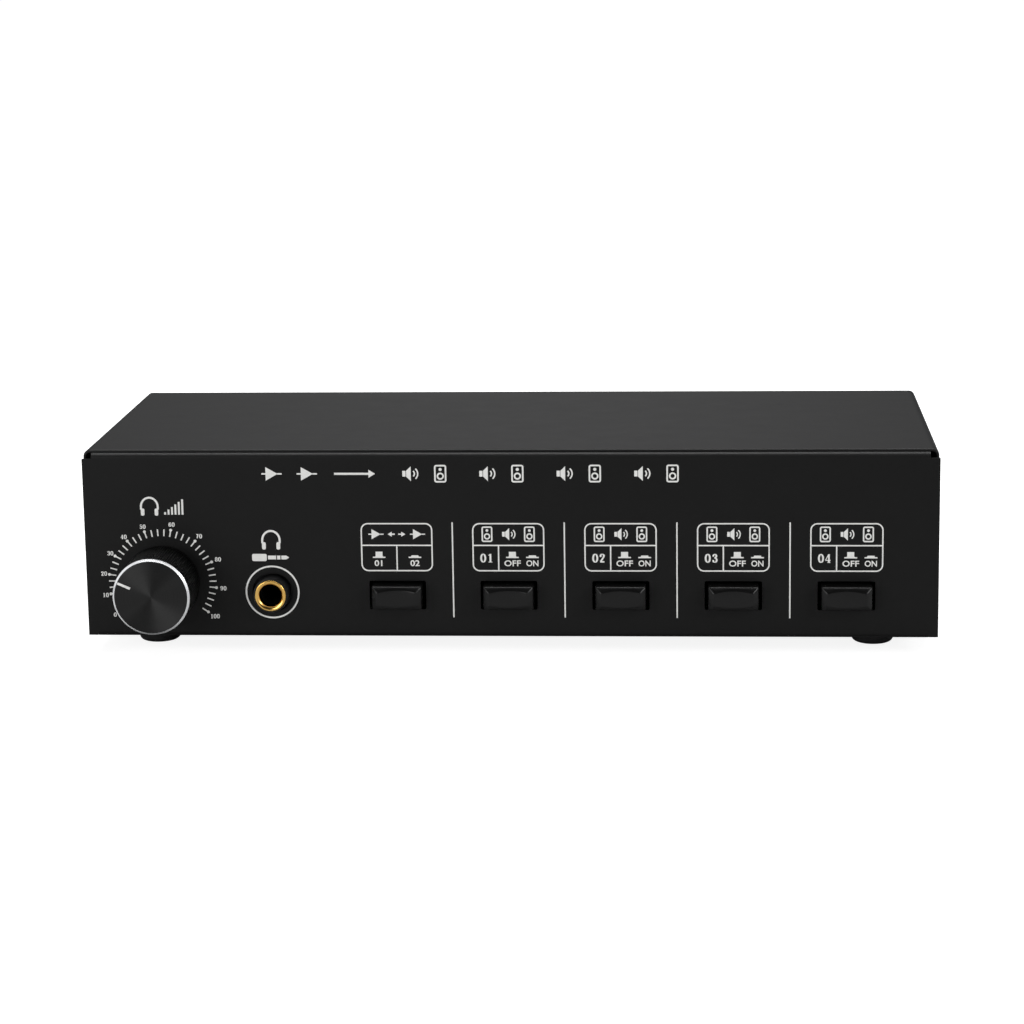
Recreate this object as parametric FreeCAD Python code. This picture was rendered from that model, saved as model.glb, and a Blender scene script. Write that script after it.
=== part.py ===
import FreeCAD, Part

import math
import os

from FreeCAD import Vector

os.makedirs("parts", exist_ok=True)

# A desktop speaker selector: a folded steel box with a headphone volume knob, a 6.35 mm
# headphone jack and five latching push buttons in front, and 24 binding posts behind.
# Lengths are in millimetres and angles in degrees. X runs to the right seen from the front,
# Y from the front to the rear and Z up. The origin is on the surface that the feet stand on,
# at the middle of the width and of the overall length. A "rise" is a height above the box's
# underside, and a "reach" is how far a piece stands out of the wall that it goes through.

# Box
box_width = 250.0
box_depth = 100.0
box_height = 56.0
sheet = 1.0
bend_inside = 0.5
flange_depth = 8.0
corner_relief = 2.8  # length at each end of the front and rear walls that has no fold
corner_foot = 0.35  # rise of those ends' lower edge
corner_drop = 1.7  # drop of those ends' upper edge below the chassis' rim
lip_height = 10.0
lip_end_gap = 6.0
lip_clearance = 0.15
cover_sheet = 0.8
cover_bend_inside = 1.2
cover_inset = 0.2
cover_lift = 0.3

# Feet
foot_height = 5.0
foot_radius = 7.0
foot_tip_radius = 6.2
foot_round = 1.5
foot_side_inset = 18.0
foot_end_inset = 17.0
foot_recess_radius = 3.6
foot_recess_depth = 2.6

# Screws
screw_radius = 1.5
screw_head_radius = 2.75
screw_head_height = 1.8
screw_clearance = 0.15
cover_screw_head_height = 1.3
cover_screw_length = 5.0
cover_screw_end_inset = 25.0
cover_screw_rise = 5.8
foot_screw_grip = 2.2  # length of a foot's screw above the bottom plate
board_screw_length = 4.8

# Boards
board_sheet = 1.6
board_rise = 6.5  # of the main board's upper face
board_side_gap = 8.0
board_front_gap = 3.0
board_rear_gap = 0.4
standoff_radius = 2.75
standoff_spigot_radius = 2.1
standoff_end_inset = 14.0
standoff_spaces = (-1, 2, 4)  # places between the buttons, counted from the first one
terminal_board_side_gap = 11.0
terminal_board_rise = 49.0
link_size = 2.5
link_length = 180.0

# Volume control
knob_x = -102.3
knob_rise = 16.5
knob_reach = 18.5
knob_gap = 1.5
knob_radius = 11.25
knob_rim = 0.9
knob_chamfer = 0.7
knob_back_chamfer = 0.4
knurl_count = 100
knurl_depth = 0.35
knob_recess_radius = 6.8
knob_recess_depth = 3.0
pointer_angle = 156.6  # at rest, from +X towards +Z
pointer_length = 4.1
pointer_width = 0.8
pointer_depth = 0.3
pointer_rim_gap = 0.1
shaft_radius = 3.0
shaft_flat = 1.5
shaft_flat_length = 10.0
shaft_end_gap = 3.5  # between the end of the shaft and the knob's face
shaft_in_body = 8.0
set_screw_radius = 1.5
set_screw_depth = 0.5
pot_half_width = 8.5
pot_depth = 12.0
bushing_radius = 3.5
bushing_reach = 4.0
pot_nut_across = 10.0
pot_nut_thickness = 2.0

# Headphone jack
jack_x = -69.7
jack_rise = 13.5
jack_width = 16.0
jack_height = 14.0
jack_length = 28.0
jack_setback = 1.0  # between the front wall and the body
jack_hole_radius = 6.0
barrel_radius = 5.15
barrel_reach = 4.2
barrel_round = 0.4
jack_bore_radius = 3.2
jack_bore_depth = 31.0
jack_ring_radius = 4.6
jack_ring_proud = 0.5
jack_ring_seat = 2.5
jack_ring_round = 0.4

# Push buttons
button_count = 5
button_first_x = -32.6
button_pitch = 32.75
button_rise = 12.7
button_travel = 3.5
button_width = 14.7
button_height = 7.0
button_reach = 5.0
button_side_gap = 1.0
button_edge_gap = 0.85
button_bevel_depth = 1.5
button_side_bevel = 1.55
button_edge_bevel = 1.35
button_dish = 0.8
button_tail = 4.5  # length behind the front wall's face
button_wall = 1.2
button_roof = 2.5
hub_wall = 1.2
opening_round = 0.5
plunger_size = 3.2
plunger_in_hub = 5.0
plunger_in_body = 16.0
switch_width = 12.0
switch_height = 11.0
switch_length = 30.0
switch_gap = 1.0  # between a pressed button's tail and its switch
switch_over_travel = 1.0

# Binding posts
post_columns = 12
post_pitch = 19.0
post_rises = (18.0, 38.0)
post_reach = 20.0
stud_radius = 3.0
stud_tail = 1.5  # beyond the nut
socket_radius = 2.0
socket_depth = 12.0
wire_hole_radius = 1.3
wire_hole_gap = 0.9
base_radius = 6.6
base_thickness = 3.0
base_bevel = 0.5
neck_radius = 4.0
cap_radius = 6.0
cap_skirt_radius = 6.3
cap_skirt_length = 2.2
cap_ribs = 12
cap_rib_depth = 0.5
cap_end_wall = 1.3
cap_mouth_radius = 2.4
cap_bevel = 0.7
post_nut_across = 8.0
post_nut_thickness = 2.5

# Clearances
hole_clearance = 0.1
seat_fit = 0.02  # between pieces that are screwed or pressed together
running_fit = 0.05
slide_fit = 0.1
body_gap = 0.3  # between pieces that move past each other

# Places that several pieces share
half_width = box_width / 2
front = knob_reach - (knob_reach + box_depth + post_reach) / 2
back = front + box_depth
floor = foot_height
rim = floor + box_height - cover_sheet
roof = floor + box_height
fold = bend_inside + sheet
cover_half = half_width - cover_inset
lip_half = cover_half - cover_sheet - lip_clearance
folded_half = half_width - corner_relief
knob_z = floor + knob_rise
knob_face = front - knob_reach
knob_back = front - knob_gap
shaft_end = knob_face + shaft_end_gap
jack_z = floor + jack_rise
jack_mouth = front - barrel_reach - jack_ring_proud
button_z = floor + button_rise
button_xs = [button_first_x + i * button_pitch for i in range(button_count)]
button_back = front + button_tail
switch_front = button_back + button_travel + switch_gap
board_top = floor + board_rise
board_under = board_top - board_sheet
terminal_face = back - sheet - board_sheet
post_xs = [(i - (post_columns - 1) / 2) * post_pitch for i in range(post_columns)]
stud_end = back + post_reach - cap_end_wall - seat_fit
cap_start = back + base_thickness + body_gap
nut_face = terminal_face - post_nut_thickness
foot_places = [
    (side * (half_width - foot_side_inset), y)
    for side in (-1, 1)
    for y in (front + foot_end_inset, back - foot_end_inset)
]
standoff_places = [
    (button_first_x + (space - 0.5) * button_pitch, y)
    for space in standoff_spaces
    for y in (front + standoff_end_inset, back - standoff_end_inset)
]
cover_screw_places = [
    (side, y)
    for side in (-1, 1)
    for y in (front + cover_screw_end_inset, back - cover_screw_end_inset)
]

along_x = Vector(1, 0, 0)
along_y = Vector(0, 1, 0)
along_z = Vector(0, 0, 1)


def block(x0, x1, y0, y1, z0, z1):
    return Part.makeBox(x1 - x0, y1 - y0, z1 - z0, Vector(x0, y0, z0))


def centred(x, z, width, height, y0, y1):
    return block(x - width / 2, x + width / 2, y0, y1, z - height / 2, z + height / 2)


def bar(x, z, y0, y1, radius):
    return Part.makeCylinder(radius, y1 - y0, Vector(x, y0, z), along_y)


def pillar(x, y, z0, z1, radius):
    return Part.makeCylinder(radius, z1 - z0, Vector(x, y, z0), along_z)


def radial(angle):
    return Vector(math.cos(math.radians(angle)), 0, math.sin(math.radians(angle)))


def prism(x, z, y0, y1, radii):
    # An upright star or polygon seen from the front, with its corners evenly spaced.
    corners = [radial(360 * i / len(radii)) * r + Vector(x, y0, z) for i, r in enumerate(radii)]
    return Part.Face(Part.makePolygon(corners + corners[:1])).extrude(along_y * (y1 - y0))


def hexagon(x, z, y0, y1, across):
    return prism(x, z, y0, y1, [across / math.sqrt(3)] * 6)


def straight_edges(shape, direction):
    return [
        e
        for e in shape.Edges
        if isinstance(e.Curve, Part.Line) and abs(e.Curve.Direction.dot(direction)) > 0.999
    ]


def rounded(shape, radius, direction, keep=lambda edge: True):
    edges = [e for e in straight_edges(shape, direction) if keep(e)]
    return shape.makeFillet(radius, edges)


def circle_at(shape, y, radius):
    # The circular edge of this radius in the plane at y.
    return [
        e
        for e in shape.Edges
        if isinstance(e.Curve, Part.Circle)
        and abs(e.Curve.Radius - radius) < 1e-6
        and abs(e.Curve.Center.y - y) < 1e-6
    ]


def join(shapes):
    whole = shapes[0].fuse(shapes[1:])
    return whole.removeSplitter().Solids[0]


def carve(shape, tools):
    return shape.cut(tools).Solids[0]


def d_bar(x, z, y0, y1, radius, flat_at):
    # A round bar with one flat, which faces the knob's set screw.
    cutter = block(flat_at, 2 * radius, y0, y1, -radius, radius)
    cutter.rotate(Vector(0, 0, 0), along_y, -set_screw_angle)
    cutter.translate(Vector(x, 0, z))
    return carve(bar(x, z, y0, y1, radius), [cutter])


def screw(seat, inwards, head_height, length):
    # A pan head screw whose head's underside is centred on the seat.
    head = Part.makeCylinder(screw_head_radius, head_height, seat, inwards * -1)
    shank = Part.makeCylinder(screw_radius, length, seat, inwards)
    return join([head, shank])


def save(node, *solids):
    shape = solids[0] if len(solids) == 1 else Part.makeCompound(list(solids))
    shape.exportStep("parts/" + node + ".step")


# The chassis is one folded sheet: a bottom, a front and a rear wall with flanges turned in
# at the top, and a lip along each side that the cover is screwed to.
def make_chassis():
    reach = folded_half + sheet
    outside = block(-folded_half, folded_half, front, back, floor, rim)
    inside = block(-reach, reach, front + sheet, back - sheet, floor + sheet, rim - sheet)
    opening = block(
        -reach, reach, front + flange_depth, back - flange_depth, rim - 2 * sheet, rim + sheet
    )
    walls = carve(
        rounded(outside, fold, along_x),
        [rounded(inside, bend_inside, along_x), opening],
    )
    lip_front = front + lip_end_gap
    lip_back = back - lip_end_gap
    lip_top = floor + lip_height
    below = lambda edge: edge.CenterOfMass.z < floor + fold
    tray = block(-lip_half, lip_half, lip_front, lip_back, floor, lip_top)
    hollow = block(
        sheet - lip_half, lip_half - sheet, front, back, floor + sheet, lip_top + sheet
    )
    tray = carve(
        rounded(tray, fold, along_y, below),
        [rounded(hollow, bend_inside, along_y, below)],
    )
    ends = [
        block(x, x + corner_relief, y, y + sheet, floor + corner_foot, rim - corner_drop)
        for x in (-half_width, folded_half)
        for y in (front, back - sheet)
    ]
    whole = join([walls, tray] + ends)
    return carve(whole, front_openings() + rear_openings() + bottom_holes() + lip_holes())


def front_openings():
    tools = [
        bar(knob_x, knob_z, front - sheet, front + 2 * sheet, bushing_radius + hole_clearance),
        bar(jack_x, jack_z, front - sheet, front + 2 * sheet, jack_hole_radius),
    ]
    for x in button_xs:
        width = button_width + 2 * button_side_gap
        height = button_height + 2 * button_edge_gap
        tool = centred(x, button_z, width, height, front - sheet, front + 2 * sheet)
        tools.append(rounded(tool, opening_round, along_y))
    return tools


def rear_openings():
    return [
        bar(x, floor + rise, back - 2 * sheet, back + sheet, neck_radius + hole_clearance)
        for x in post_xs
        for rise in post_rises
    ]


def bottom_holes():
    feet = [
        pillar(x, y, floor - sheet, floor + 2 * sheet, screw_radius + seat_fit)
        for x, y in foot_places
    ]
    standoffs = [
        pillar(x, y, floor - sheet, floor + 2 * sheet, standoff_spigot_radius + seat_fit)
        for x, y in standoff_places
    ]
    return feet + standoffs


def side_hole(side, y, radius):
    seat = Vector(side * (lip_half - 2 * sheet), y, floor + cover_screw_rise)
    return Part.makeCylinder(radius, 4 * sheet, seat, along_x * side)


def lip_holes():
    return [side_hole(side, y, screw_radius + seat_fit) for side, y in cover_screw_places]


# The cover is an inverted U that rests on the flanges and closes the top and both sides.
def make_cover():
    cover_front = front + fold
    cover_back = back - fold
    inside_half = cover_half - cover_sheet
    above = lambda edge: edge.CenterOfMass.z > floor + box_height / 2
    outside = block(-cover_half, cover_half, cover_front, cover_back, floor + cover_lift, roof)
    hollow = block(-inside_half, inside_half, front, back, floor - sheet, rim)
    outside = rounded(outside, cover_bend_inside + cover_sheet, along_y, above)
    hollow = rounded(hollow, cover_bend_inside, along_y, above)
    holes = [side_hole(side, y, screw_radius + screw_clearance) for side, y in cover_screw_places]
    return carve(outside, [hollow] + holes)


def make_foot(x, y):
    foot = Part.makeCone(foot_tip_radius, foot_radius, foot_height, Vector(x, y, 0), along_z)
    sole = [
        e
        for e in foot.Edges
        if isinstance(e.Curve, Part.Circle) and abs(e.Curve.Center.z) < 1e-6
    ]
    foot = foot.makeFillet(foot_round, sole)
    recess = pillar(x, y, -sheet, foot_recess_depth, foot_recess_radius)
    hole = pillar(x, y, 0, foot_height + sheet, screw_radius + screw_clearance)
    return carve(foot, [recess, hole])


def make_foot_screw(x, y):
    length = foot_height - foot_recess_depth + sheet + foot_screw_grip
    seat = Vector(x, y, foot_recess_depth)
    return screw(seat, along_z, screw_head_height, length)


def make_cover_screw(side, y):
    seat = Vector(side * cover_half, y, floor + cover_screw_rise)
    return screw(seat, along_x * -side, cover_screw_head_height, cover_screw_length)


def make_main_board():
    half = half_width - board_side_gap
    board = block(
        -half, half, front + board_front_gap, terminal_face - board_rear_gap, board_under, board_top
    )
    holes = [
        pillar(x, y, board_under - sheet, board_top + sheet, screw_radius + screw_clearance)
        for x, y in standoff_places
    ]
    return carve(board, holes)


def make_standoff(x, y):
    post = pillar(x, y, floor + sheet, board_under, standoff_radius)
    spigot = pillar(x, y, floor, floor + sheet, standoff_spigot_radius)
    hole = pillar(x, y, floor - sheet, board_top, screw_radius + seat_fit)
    return carve(join([post, spigot]), [hole])


def make_board_screw(x, y):
    return screw(Vector(x, y, board_top), along_z * -1, screw_head_height, board_screw_length)


def make_terminal_board():
    half = half_width - terminal_board_side_gap
    board = block(
        -half, half, terminal_face, back - sheet, board_under, floor + terminal_board_rise
    )
    holes = [
        bar(x, floor + rise, terminal_face - sheet, back, stud_radius + hole_clearance)
        for x in post_xs
        for rise in post_rises
    ]
    return carve(board, holes)


def make_board_link():
    return block(
        -link_length / 2,
        link_length / 2,
        terminal_face - link_size,
        terminal_face,
        board_top,
        board_top + link_size,
    )


# The knob is turned aluminium: a straight knurl, a smooth chamfered rim round the face, a
# milled pointer line, and a recess behind for the control's nut.
set_screw_angle = pointer_angle + 90
flat_at = shaft_radius - shaft_flat
set_screw_y = (knob_face + knob_back) / 2


def make_knob():
    rim_back = knob_face + knob_rim
    crests = [knob_radius, knob_radius - knurl_depth] * knurl_count
    grip = prism(knob_x, knob_z, rim_back, knob_back, crests)
    length = knob_back - knob_face
    small = knob_radius - knob_back_chamfer
    back_centre = Vector(knob_x, knob_back, knob_z)
    taper = Part.makeCone(small, small + length, length, back_centre, along_y * -1)
    head = bar(knob_x, knob_z, knob_face, rim_back, knob_radius)
    head = head.makeChamfer(knob_chamfer, circle_at(head, knob_face, knob_radius))
    knob = join([grip.common(taper), head])
    recess_floor = knob_back - knob_recess_depth
    line_end = knob_radius - knob_chamfer - pointer_rim_gap
    line = block(
        line_end - pointer_length,
        line_end,
        knob_face - pointer_depth,
        knob_face + pointer_depth,
        -pointer_width / 2,
        pointer_width / 2,
    )
    line.rotate(Vector(0, 0, 0), along_y, -pointer_angle)
    line.translate(Vector(knob_x, 0, knob_z))
    bore_radius = shaft_radius + seat_fit
    flat_end = shaft_end + shaft_flat_length - seat_fit
    bore = d_bar(knob_x, knob_z, shaft_end - body_gap, flat_end, bore_radius, flat_at + seat_fit)
    entry = bar(knob_x, knob_z, flat_end, knob_back, bore_radius)
    tapped = Part.makeCylinder(
        set_screw_radius + seat_fit,
        knob_radius,
        Vector(knob_x, set_screw_y, knob_z),
        radial(set_screw_angle),
    )
    recess = bar(knob_x, knob_z, recess_floor, front, knob_recess_radius)
    return carve(knob, [recess, bore, entry, tapped, line])


def make_set_screw():
    out = radial(set_screw_angle)
    length = knob_radius - knurl_depth - set_screw_depth - flat_at
    seat = Vector(knob_x, set_screw_y, knob_z) + out * flat_at
    return Part.makeCylinder(set_screw_radius, length, seat, out)


def make_pot_shaft():
    inner_end = front + sheet + shaft_in_body
    flat_end = shaft_end + shaft_flat_length
    tip = d_bar(knob_x, knob_z, shaft_end, flat_end, shaft_radius, flat_at)
    return join([tip, bar(knob_x, knob_z, flat_end, inner_end, shaft_radius)])


def make_pot_body():
    inner = front + sheet
    can = bar(knob_x, knob_z, inner, inner + pot_depth, pot_half_width)
    stand = block(
        knob_x - pot_half_width, knob_x + pot_half_width, inner, inner + pot_depth, board_top, knob_z
    )
    bushing = bar(knob_x, knob_z, front - bushing_reach, inner + sheet, bushing_radius)
    bearing = bar(
        knob_x,
        knob_z,
        front - bushing_reach - sheet,
        inner + shaft_in_body + running_fit,
        shaft_radius + running_fit,
    )
    under_board = block(
        knob_x - pot_half_width,
        knob_x + pot_half_width,
        inner,
        inner + pot_depth,
        board_top - pot_half_width,
        board_top,
    )
    return carve(join([can, stand, bushing]), [bearing, under_board])


def make_pot_nut():
    nut = hexagon(knob_x, knob_z, front - pot_nut_thickness, front, pot_nut_across)
    return carve(nut, [bar(knob_x, knob_z, front - box_depth, back, bushing_radius + seat_fit)])


# The jack is a moulded body on the board whose barrel stands in the front wall's hole with a
# gap all round. A gilt ring is pressed into the barrel's mouth.
def make_jack_body():
    barrel_end = front - barrel_reach
    body_front = front + sheet + jack_setback
    body = block(
        jack_x - jack_width / 2,
        jack_x + jack_width / 2,
        body_front,
        body_front + jack_length,
        board_top,
        board_top + jack_height,
    )
    barrel = bar(jack_x, jack_z, barrel_end, body_front + sheet, barrel_radius)
    barrel = barrel.makeFillet(barrel_round, circle_at(barrel, barrel_end, barrel_radius))
    seat = bar(
        jack_x, jack_z, barrel_end - sheet, barrel_end + jack_ring_seat, jack_ring_radius + seat_fit
    )
    bore = bar(jack_x, jack_z, barrel_end, jack_mouth + jack_bore_depth, jack_bore_radius)
    return carve(join([body, barrel]), [seat, bore])


def make_jack_ring():
    inner_end = front - barrel_reach + jack_ring_seat
    ring = bar(jack_x, jack_z, jack_mouth, inner_end, jack_ring_radius)
    ring = carve(ring, [bar(jack_x, jack_z, front - box_depth, back, jack_bore_radius)])
    ring = ring.makeFillet(jack_ring_round, circle_at(ring, jack_mouth, jack_ring_radius))
    return ring.makeChamfer(jack_ring_round, circle_at(ring, jack_mouth, jack_bore_radius))


# A button is a moulded cap with a bevelled rim and a face dished from side to side. It is
# hollow behind, with a square hub that is pressed on the switch's plunger.
def rectangle(x, z, y, width, height):
    corners = [
        Vector(x + i * width / 2, y, z + j * height / 2)
        for i, j in ((-1, -1), (1, -1), (1, 1), (-1, 1))
    ]
    return Part.makePolygon(corners + corners[:1])


def make_button(x):
    face = front - button_reach
    shoulder = face + button_bevel_depth
    face_width = button_width - 2 * button_side_bevel
    face_height = button_height - 2 * button_edge_bevel
    skirt = centred(x, button_z, button_width, button_height, shoulder, button_back)
    crown = Part.makeLoft(
        [
            rectangle(x, button_z, shoulder, button_width, button_height),
            rectangle(x, button_z, face, face_width, face_height),
        ],
        True,
        True,
    )
    dish_radius = ((face_width / 2) ** 2 + button_dish**2) / (2 * button_dish)
    dish = pillar(
        x,
        face + button_dish - dish_radius,
        button_z - button_height,
        button_z + button_height,
        dish_radius,
    )
    hollow_end = face + button_roof
    hollow = centred(
        x,
        button_z,
        button_width - 2 * button_wall,
        button_height - 2 * button_wall,
        hollow_end,
        button_back,
    )
    hub_size = plunger_size + 2 * hub_wall
    hub = centred(x, button_z, hub_size, button_height - button_wall, hollow_end, button_back)
    socket = plunger_size + 2 * seat_fit
    slot = centred(x, button_z, socket, socket, button_back - plunger_in_hub, button_back)
    shell = carve(carve(join([skirt, crown]), [dish]), [hollow])
    return carve(join([shell, hub]), [slot])


def make_plunger(x):
    return centred(
        x,
        button_z,
        plunger_size,
        plunger_size,
        button_back - plunger_in_hub,
        switch_front + plunger_in_body,
    )


def make_switch_body(x):
    body = block(
        x - switch_width / 2,
        x + switch_width / 2,
        switch_front,
        switch_front + switch_length,
        board_top,
        board_top + switch_height,
    )
    size = plunger_size + 2 * slide_fit
    channel_end = switch_front + plunger_in_body + button_travel + switch_over_travel
    return carve(body, [centred(x, button_z, size, size, front, channel_end)])


# A binding post is a hollow gilt stud held through the rear wall by its coloured base and a
# nut on the terminal board, with a ribbed cap that screws along the stud over the wire hole.
def make_stud(x, z):
    stud = bar(x, z, nut_face - stud_tail, stud_end, stud_radius)
    socket = bar(x, z, stud_end - socket_depth, stud_end + sheet, socket_radius)
    hole_y = back + base_thickness + wire_hole_gap + wire_hole_radius
    wire_hole = pillar(x, hole_y, z - 2 * stud_radius, z + 2 * stud_radius, wire_hole_radius)
    return carve(stud, [socket, wire_hole])


def make_post_base(x, z):
    outer = back + base_thickness
    flange = bar(x, z, back, outer, base_radius)
    flange = flange.makeChamfer(base_bevel, circle_at(flange, outer, base_radius))
    neck = bar(x, z, back - sheet, back, neck_radius)
    return carve(join([flange, neck]), [bar(x, z, front, outer + sheet, stud_radius + seat_fit)])


def make_cap(x, z):
    end = back + post_reach
    skirt_end = cap_start + cap_skirt_length
    core = cap_radius - cap_rib_depth
    ribs = [cap_radius, core] * cap_ribs
    skirt = bar(x, z, cap_start, skirt_end, cap_skirt_radius)
    grip = prism(x, z, skirt_end, end - cap_bevel, ribs)
    nose = bar(x, z, end - 2 * cap_bevel, end, core)
    nose = nose.makeChamfer(cap_bevel, circle_at(nose, end, core))
    thread = bar(x, z, front, end - cap_end_wall, stud_radius + running_fit)
    mouth = bar(x, z, front, end + sheet, cap_mouth_radius)
    return carve(join([skirt, grip, nose]), [thread, mouth])


def make_post_nut(x, z):
    nut = hexagon(x, z, nut_face, terminal_face, post_nut_across)
    return carve(nut, [bar(x, z, front, back, stud_radius + seat_fit)])


save("chassis", make_chassis())
save("top_cover", make_cover())
save("cover_screws", *[make_cover_screw(side, y) for side, y in cover_screw_places])
save("rubber_feet", *[make_foot(x, y) for x, y in foot_places])
save("foot_screws", *[make_foot_screw(x, y) for x, y in foot_places])
save("main_board", make_main_board())
save("board_standoffs", *[make_standoff(x, y) for x, y in standoff_places])
save("board_screws", *[make_board_screw(x, y) for x, y in standoff_places])
save("terminal_board", make_terminal_board())
save("board_link", make_board_link())

save("volume_knob", make_knob())
save("knob_set_screw", make_set_screw())
save("pot_shaft", make_pot_shaft())
save("pot_body", make_pot_body())
save("pot_nut", make_pot_nut())

save("jack_body", make_jack_body())
save("jack_ring", make_jack_ring())

for number, button_x in enumerate(button_xs, 1):
    save(f"button_{number}", make_button(button_x))
    save(f"switch_plunger_{number}", make_plunger(button_x))
    save(f"switch_body_{number}", make_switch_body(button_x))

low, high = [floor + rise for rise in post_rises]
save("post_studs", *[make_stud(x, z) for z in (low, high) for x in post_xs])
save("post_nuts", *[make_post_nut(x, z) for z in (low, high) for x in post_xs])
save("black_post_bases", *[make_post_base(x, low) for x in post_xs])
save("red_post_bases", *[make_post_base(x, high) for x in post_xs])
for column, post_x in enumerate(post_xs, 1):
    save(f"black_cap_{column:02d}", make_cap(post_x, low))
    save(f"red_cap_{column:02d}", make_cap(post_x, high))
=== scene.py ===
import math

import bmesh
import bpy
from mathutils import Matrix, Vector


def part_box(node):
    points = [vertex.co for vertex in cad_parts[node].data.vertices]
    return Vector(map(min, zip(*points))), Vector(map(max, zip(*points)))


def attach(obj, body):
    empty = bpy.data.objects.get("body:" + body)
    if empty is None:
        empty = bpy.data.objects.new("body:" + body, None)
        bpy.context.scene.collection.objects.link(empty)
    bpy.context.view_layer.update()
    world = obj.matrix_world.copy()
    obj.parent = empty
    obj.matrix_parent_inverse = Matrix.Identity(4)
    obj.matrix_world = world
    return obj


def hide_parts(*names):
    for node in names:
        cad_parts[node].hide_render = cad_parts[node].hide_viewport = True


# A black desktop speaker selector: powder-coated steel box, knurled volume knob with a printed
# dial, gilt headphone jack, five glossy push buttons, and 24 binding posts behind.
# Pieces are modelled in millimetres. Local X runs right, Y up and Z out of the wall they stand on.

mm = 0.001
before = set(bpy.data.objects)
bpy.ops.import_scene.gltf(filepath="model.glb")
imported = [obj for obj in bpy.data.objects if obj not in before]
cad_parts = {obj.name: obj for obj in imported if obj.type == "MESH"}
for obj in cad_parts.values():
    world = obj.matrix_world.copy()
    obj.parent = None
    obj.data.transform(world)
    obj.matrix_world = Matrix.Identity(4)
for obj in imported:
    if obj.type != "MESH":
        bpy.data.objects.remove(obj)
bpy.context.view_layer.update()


def boxOf(node):
    low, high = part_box(node)
    return low / mm, high / mm


def middleOf(node):
    low, high = boxOf(node)
    return (low + high) / 2


frontFace = boxOf("chassis")[0].y
rearFace = boxOf("chassis")[1].y
underside = boxOf("chassis")[0].z
knobAxis = middleOf("volume_knob")


def linear(hexColour):
    # sRGB hex to the linear colour that shaders take
    parts = [int(hexColour[i : i + 2], 16) / 255 for i in (1, 3, 5)]
    return [c / 12.92 if c <= 0.04045 else ((c + 0.055) / 1.055) ** 2.4 for c in parts] + [1.0]


def feed(tree, node, inputs):
    # an input takes a value or another node's socket
    for key, value in inputs.items():
        if isinstance(value, bpy.types.NodeSocket):
            tree.links.new(value, node.inputs[key])
        else:
            node.inputs[key].default_value = value


def addNode(tree, kind, settings=None, inputs=None):
    node = tree.nodes.new(kind)
    for name, value in (settings or {}).items():
        setattr(node, name, value)
    feed(tree, node, inputs or {})
    return node


def newMaterial(name):
    material = bpy.data.materials.new(name)
    material.use_nodes = True
    material.node_tree.nodes.clear()
    return material, material.node_tree


# octaves of the mottle and of the grain, and the part of the mottle's range that gloss follows
noiseLook = {"mottleDetail": 3.0, "grainDetail": 2.0, "glossSpan": (0.3, 0.7)}


def grainedFinish(name, look):
    # soft mottling in colour and gloss, and a fine grain that stands up in relief
    material, tree = newMaterial(name)
    where = addNode(tree, "ShaderNodeTexCoord").outputs["Object"]
    stretch = {"Vector": where, "Scale": look.get("stretch", (1, 1, 1))}
    where = addNode(tree, "ShaderNodeMapping", inputs=stretch).outputs[0]
    noises = []
    for kind in ("mottle", "grain"):
        detail = noiseLook[kind + "Detail"]
        spots = {"Vector": where, "Scale": 1 / (look[kind] * mm), "Detail": detail}
        noises.append(addNode(tree, "ShaderNodeTexNoise", inputs=spots).outputs[0])
    mottle, grain = noises
    dark, light = (linear(colour) for colour in look["colours"])
    colour = addNode(tree, "ShaderNodeMix", {"data_type": "RGBA"}, {0: mottle, 6: dark, 7: light})
    (low, high), (smooth, rough) = noiseLook["glossSpan"], look["roughness"]
    gloss = {0: mottle, 1: low, 2: high, 3: smooth, 4: rough}
    gloss = addNode(tree, "ShaderNodeMapRange", inputs=gloss)
    relief = {"Distance": look["relief"] * mm, "Height": grain}
    bump = addNode(tree, "ShaderNodeBump", inputs=relief)
    surface = {
        "Base Color": colour.outputs[2],
        "Metallic": look.get("metallic", 0.0),
        "Roughness": gloss.outputs[0],
        "Normal": bump.outputs[0],
        "Specular IOR Level": look.get("specular", 0.5),
        "Subsurface Weight": look.get("subsurface", 0.0),
    }
    if "ior" in look:
        surface["IOR"] = look["ior"]
    shader = addNode(tree, "ShaderNodeBsdfPrincipled", inputs=surface)
    addNode(tree, "ShaderNodeOutputMaterial", inputs={"Surface": shader.outputs[0]})
    return material


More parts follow.
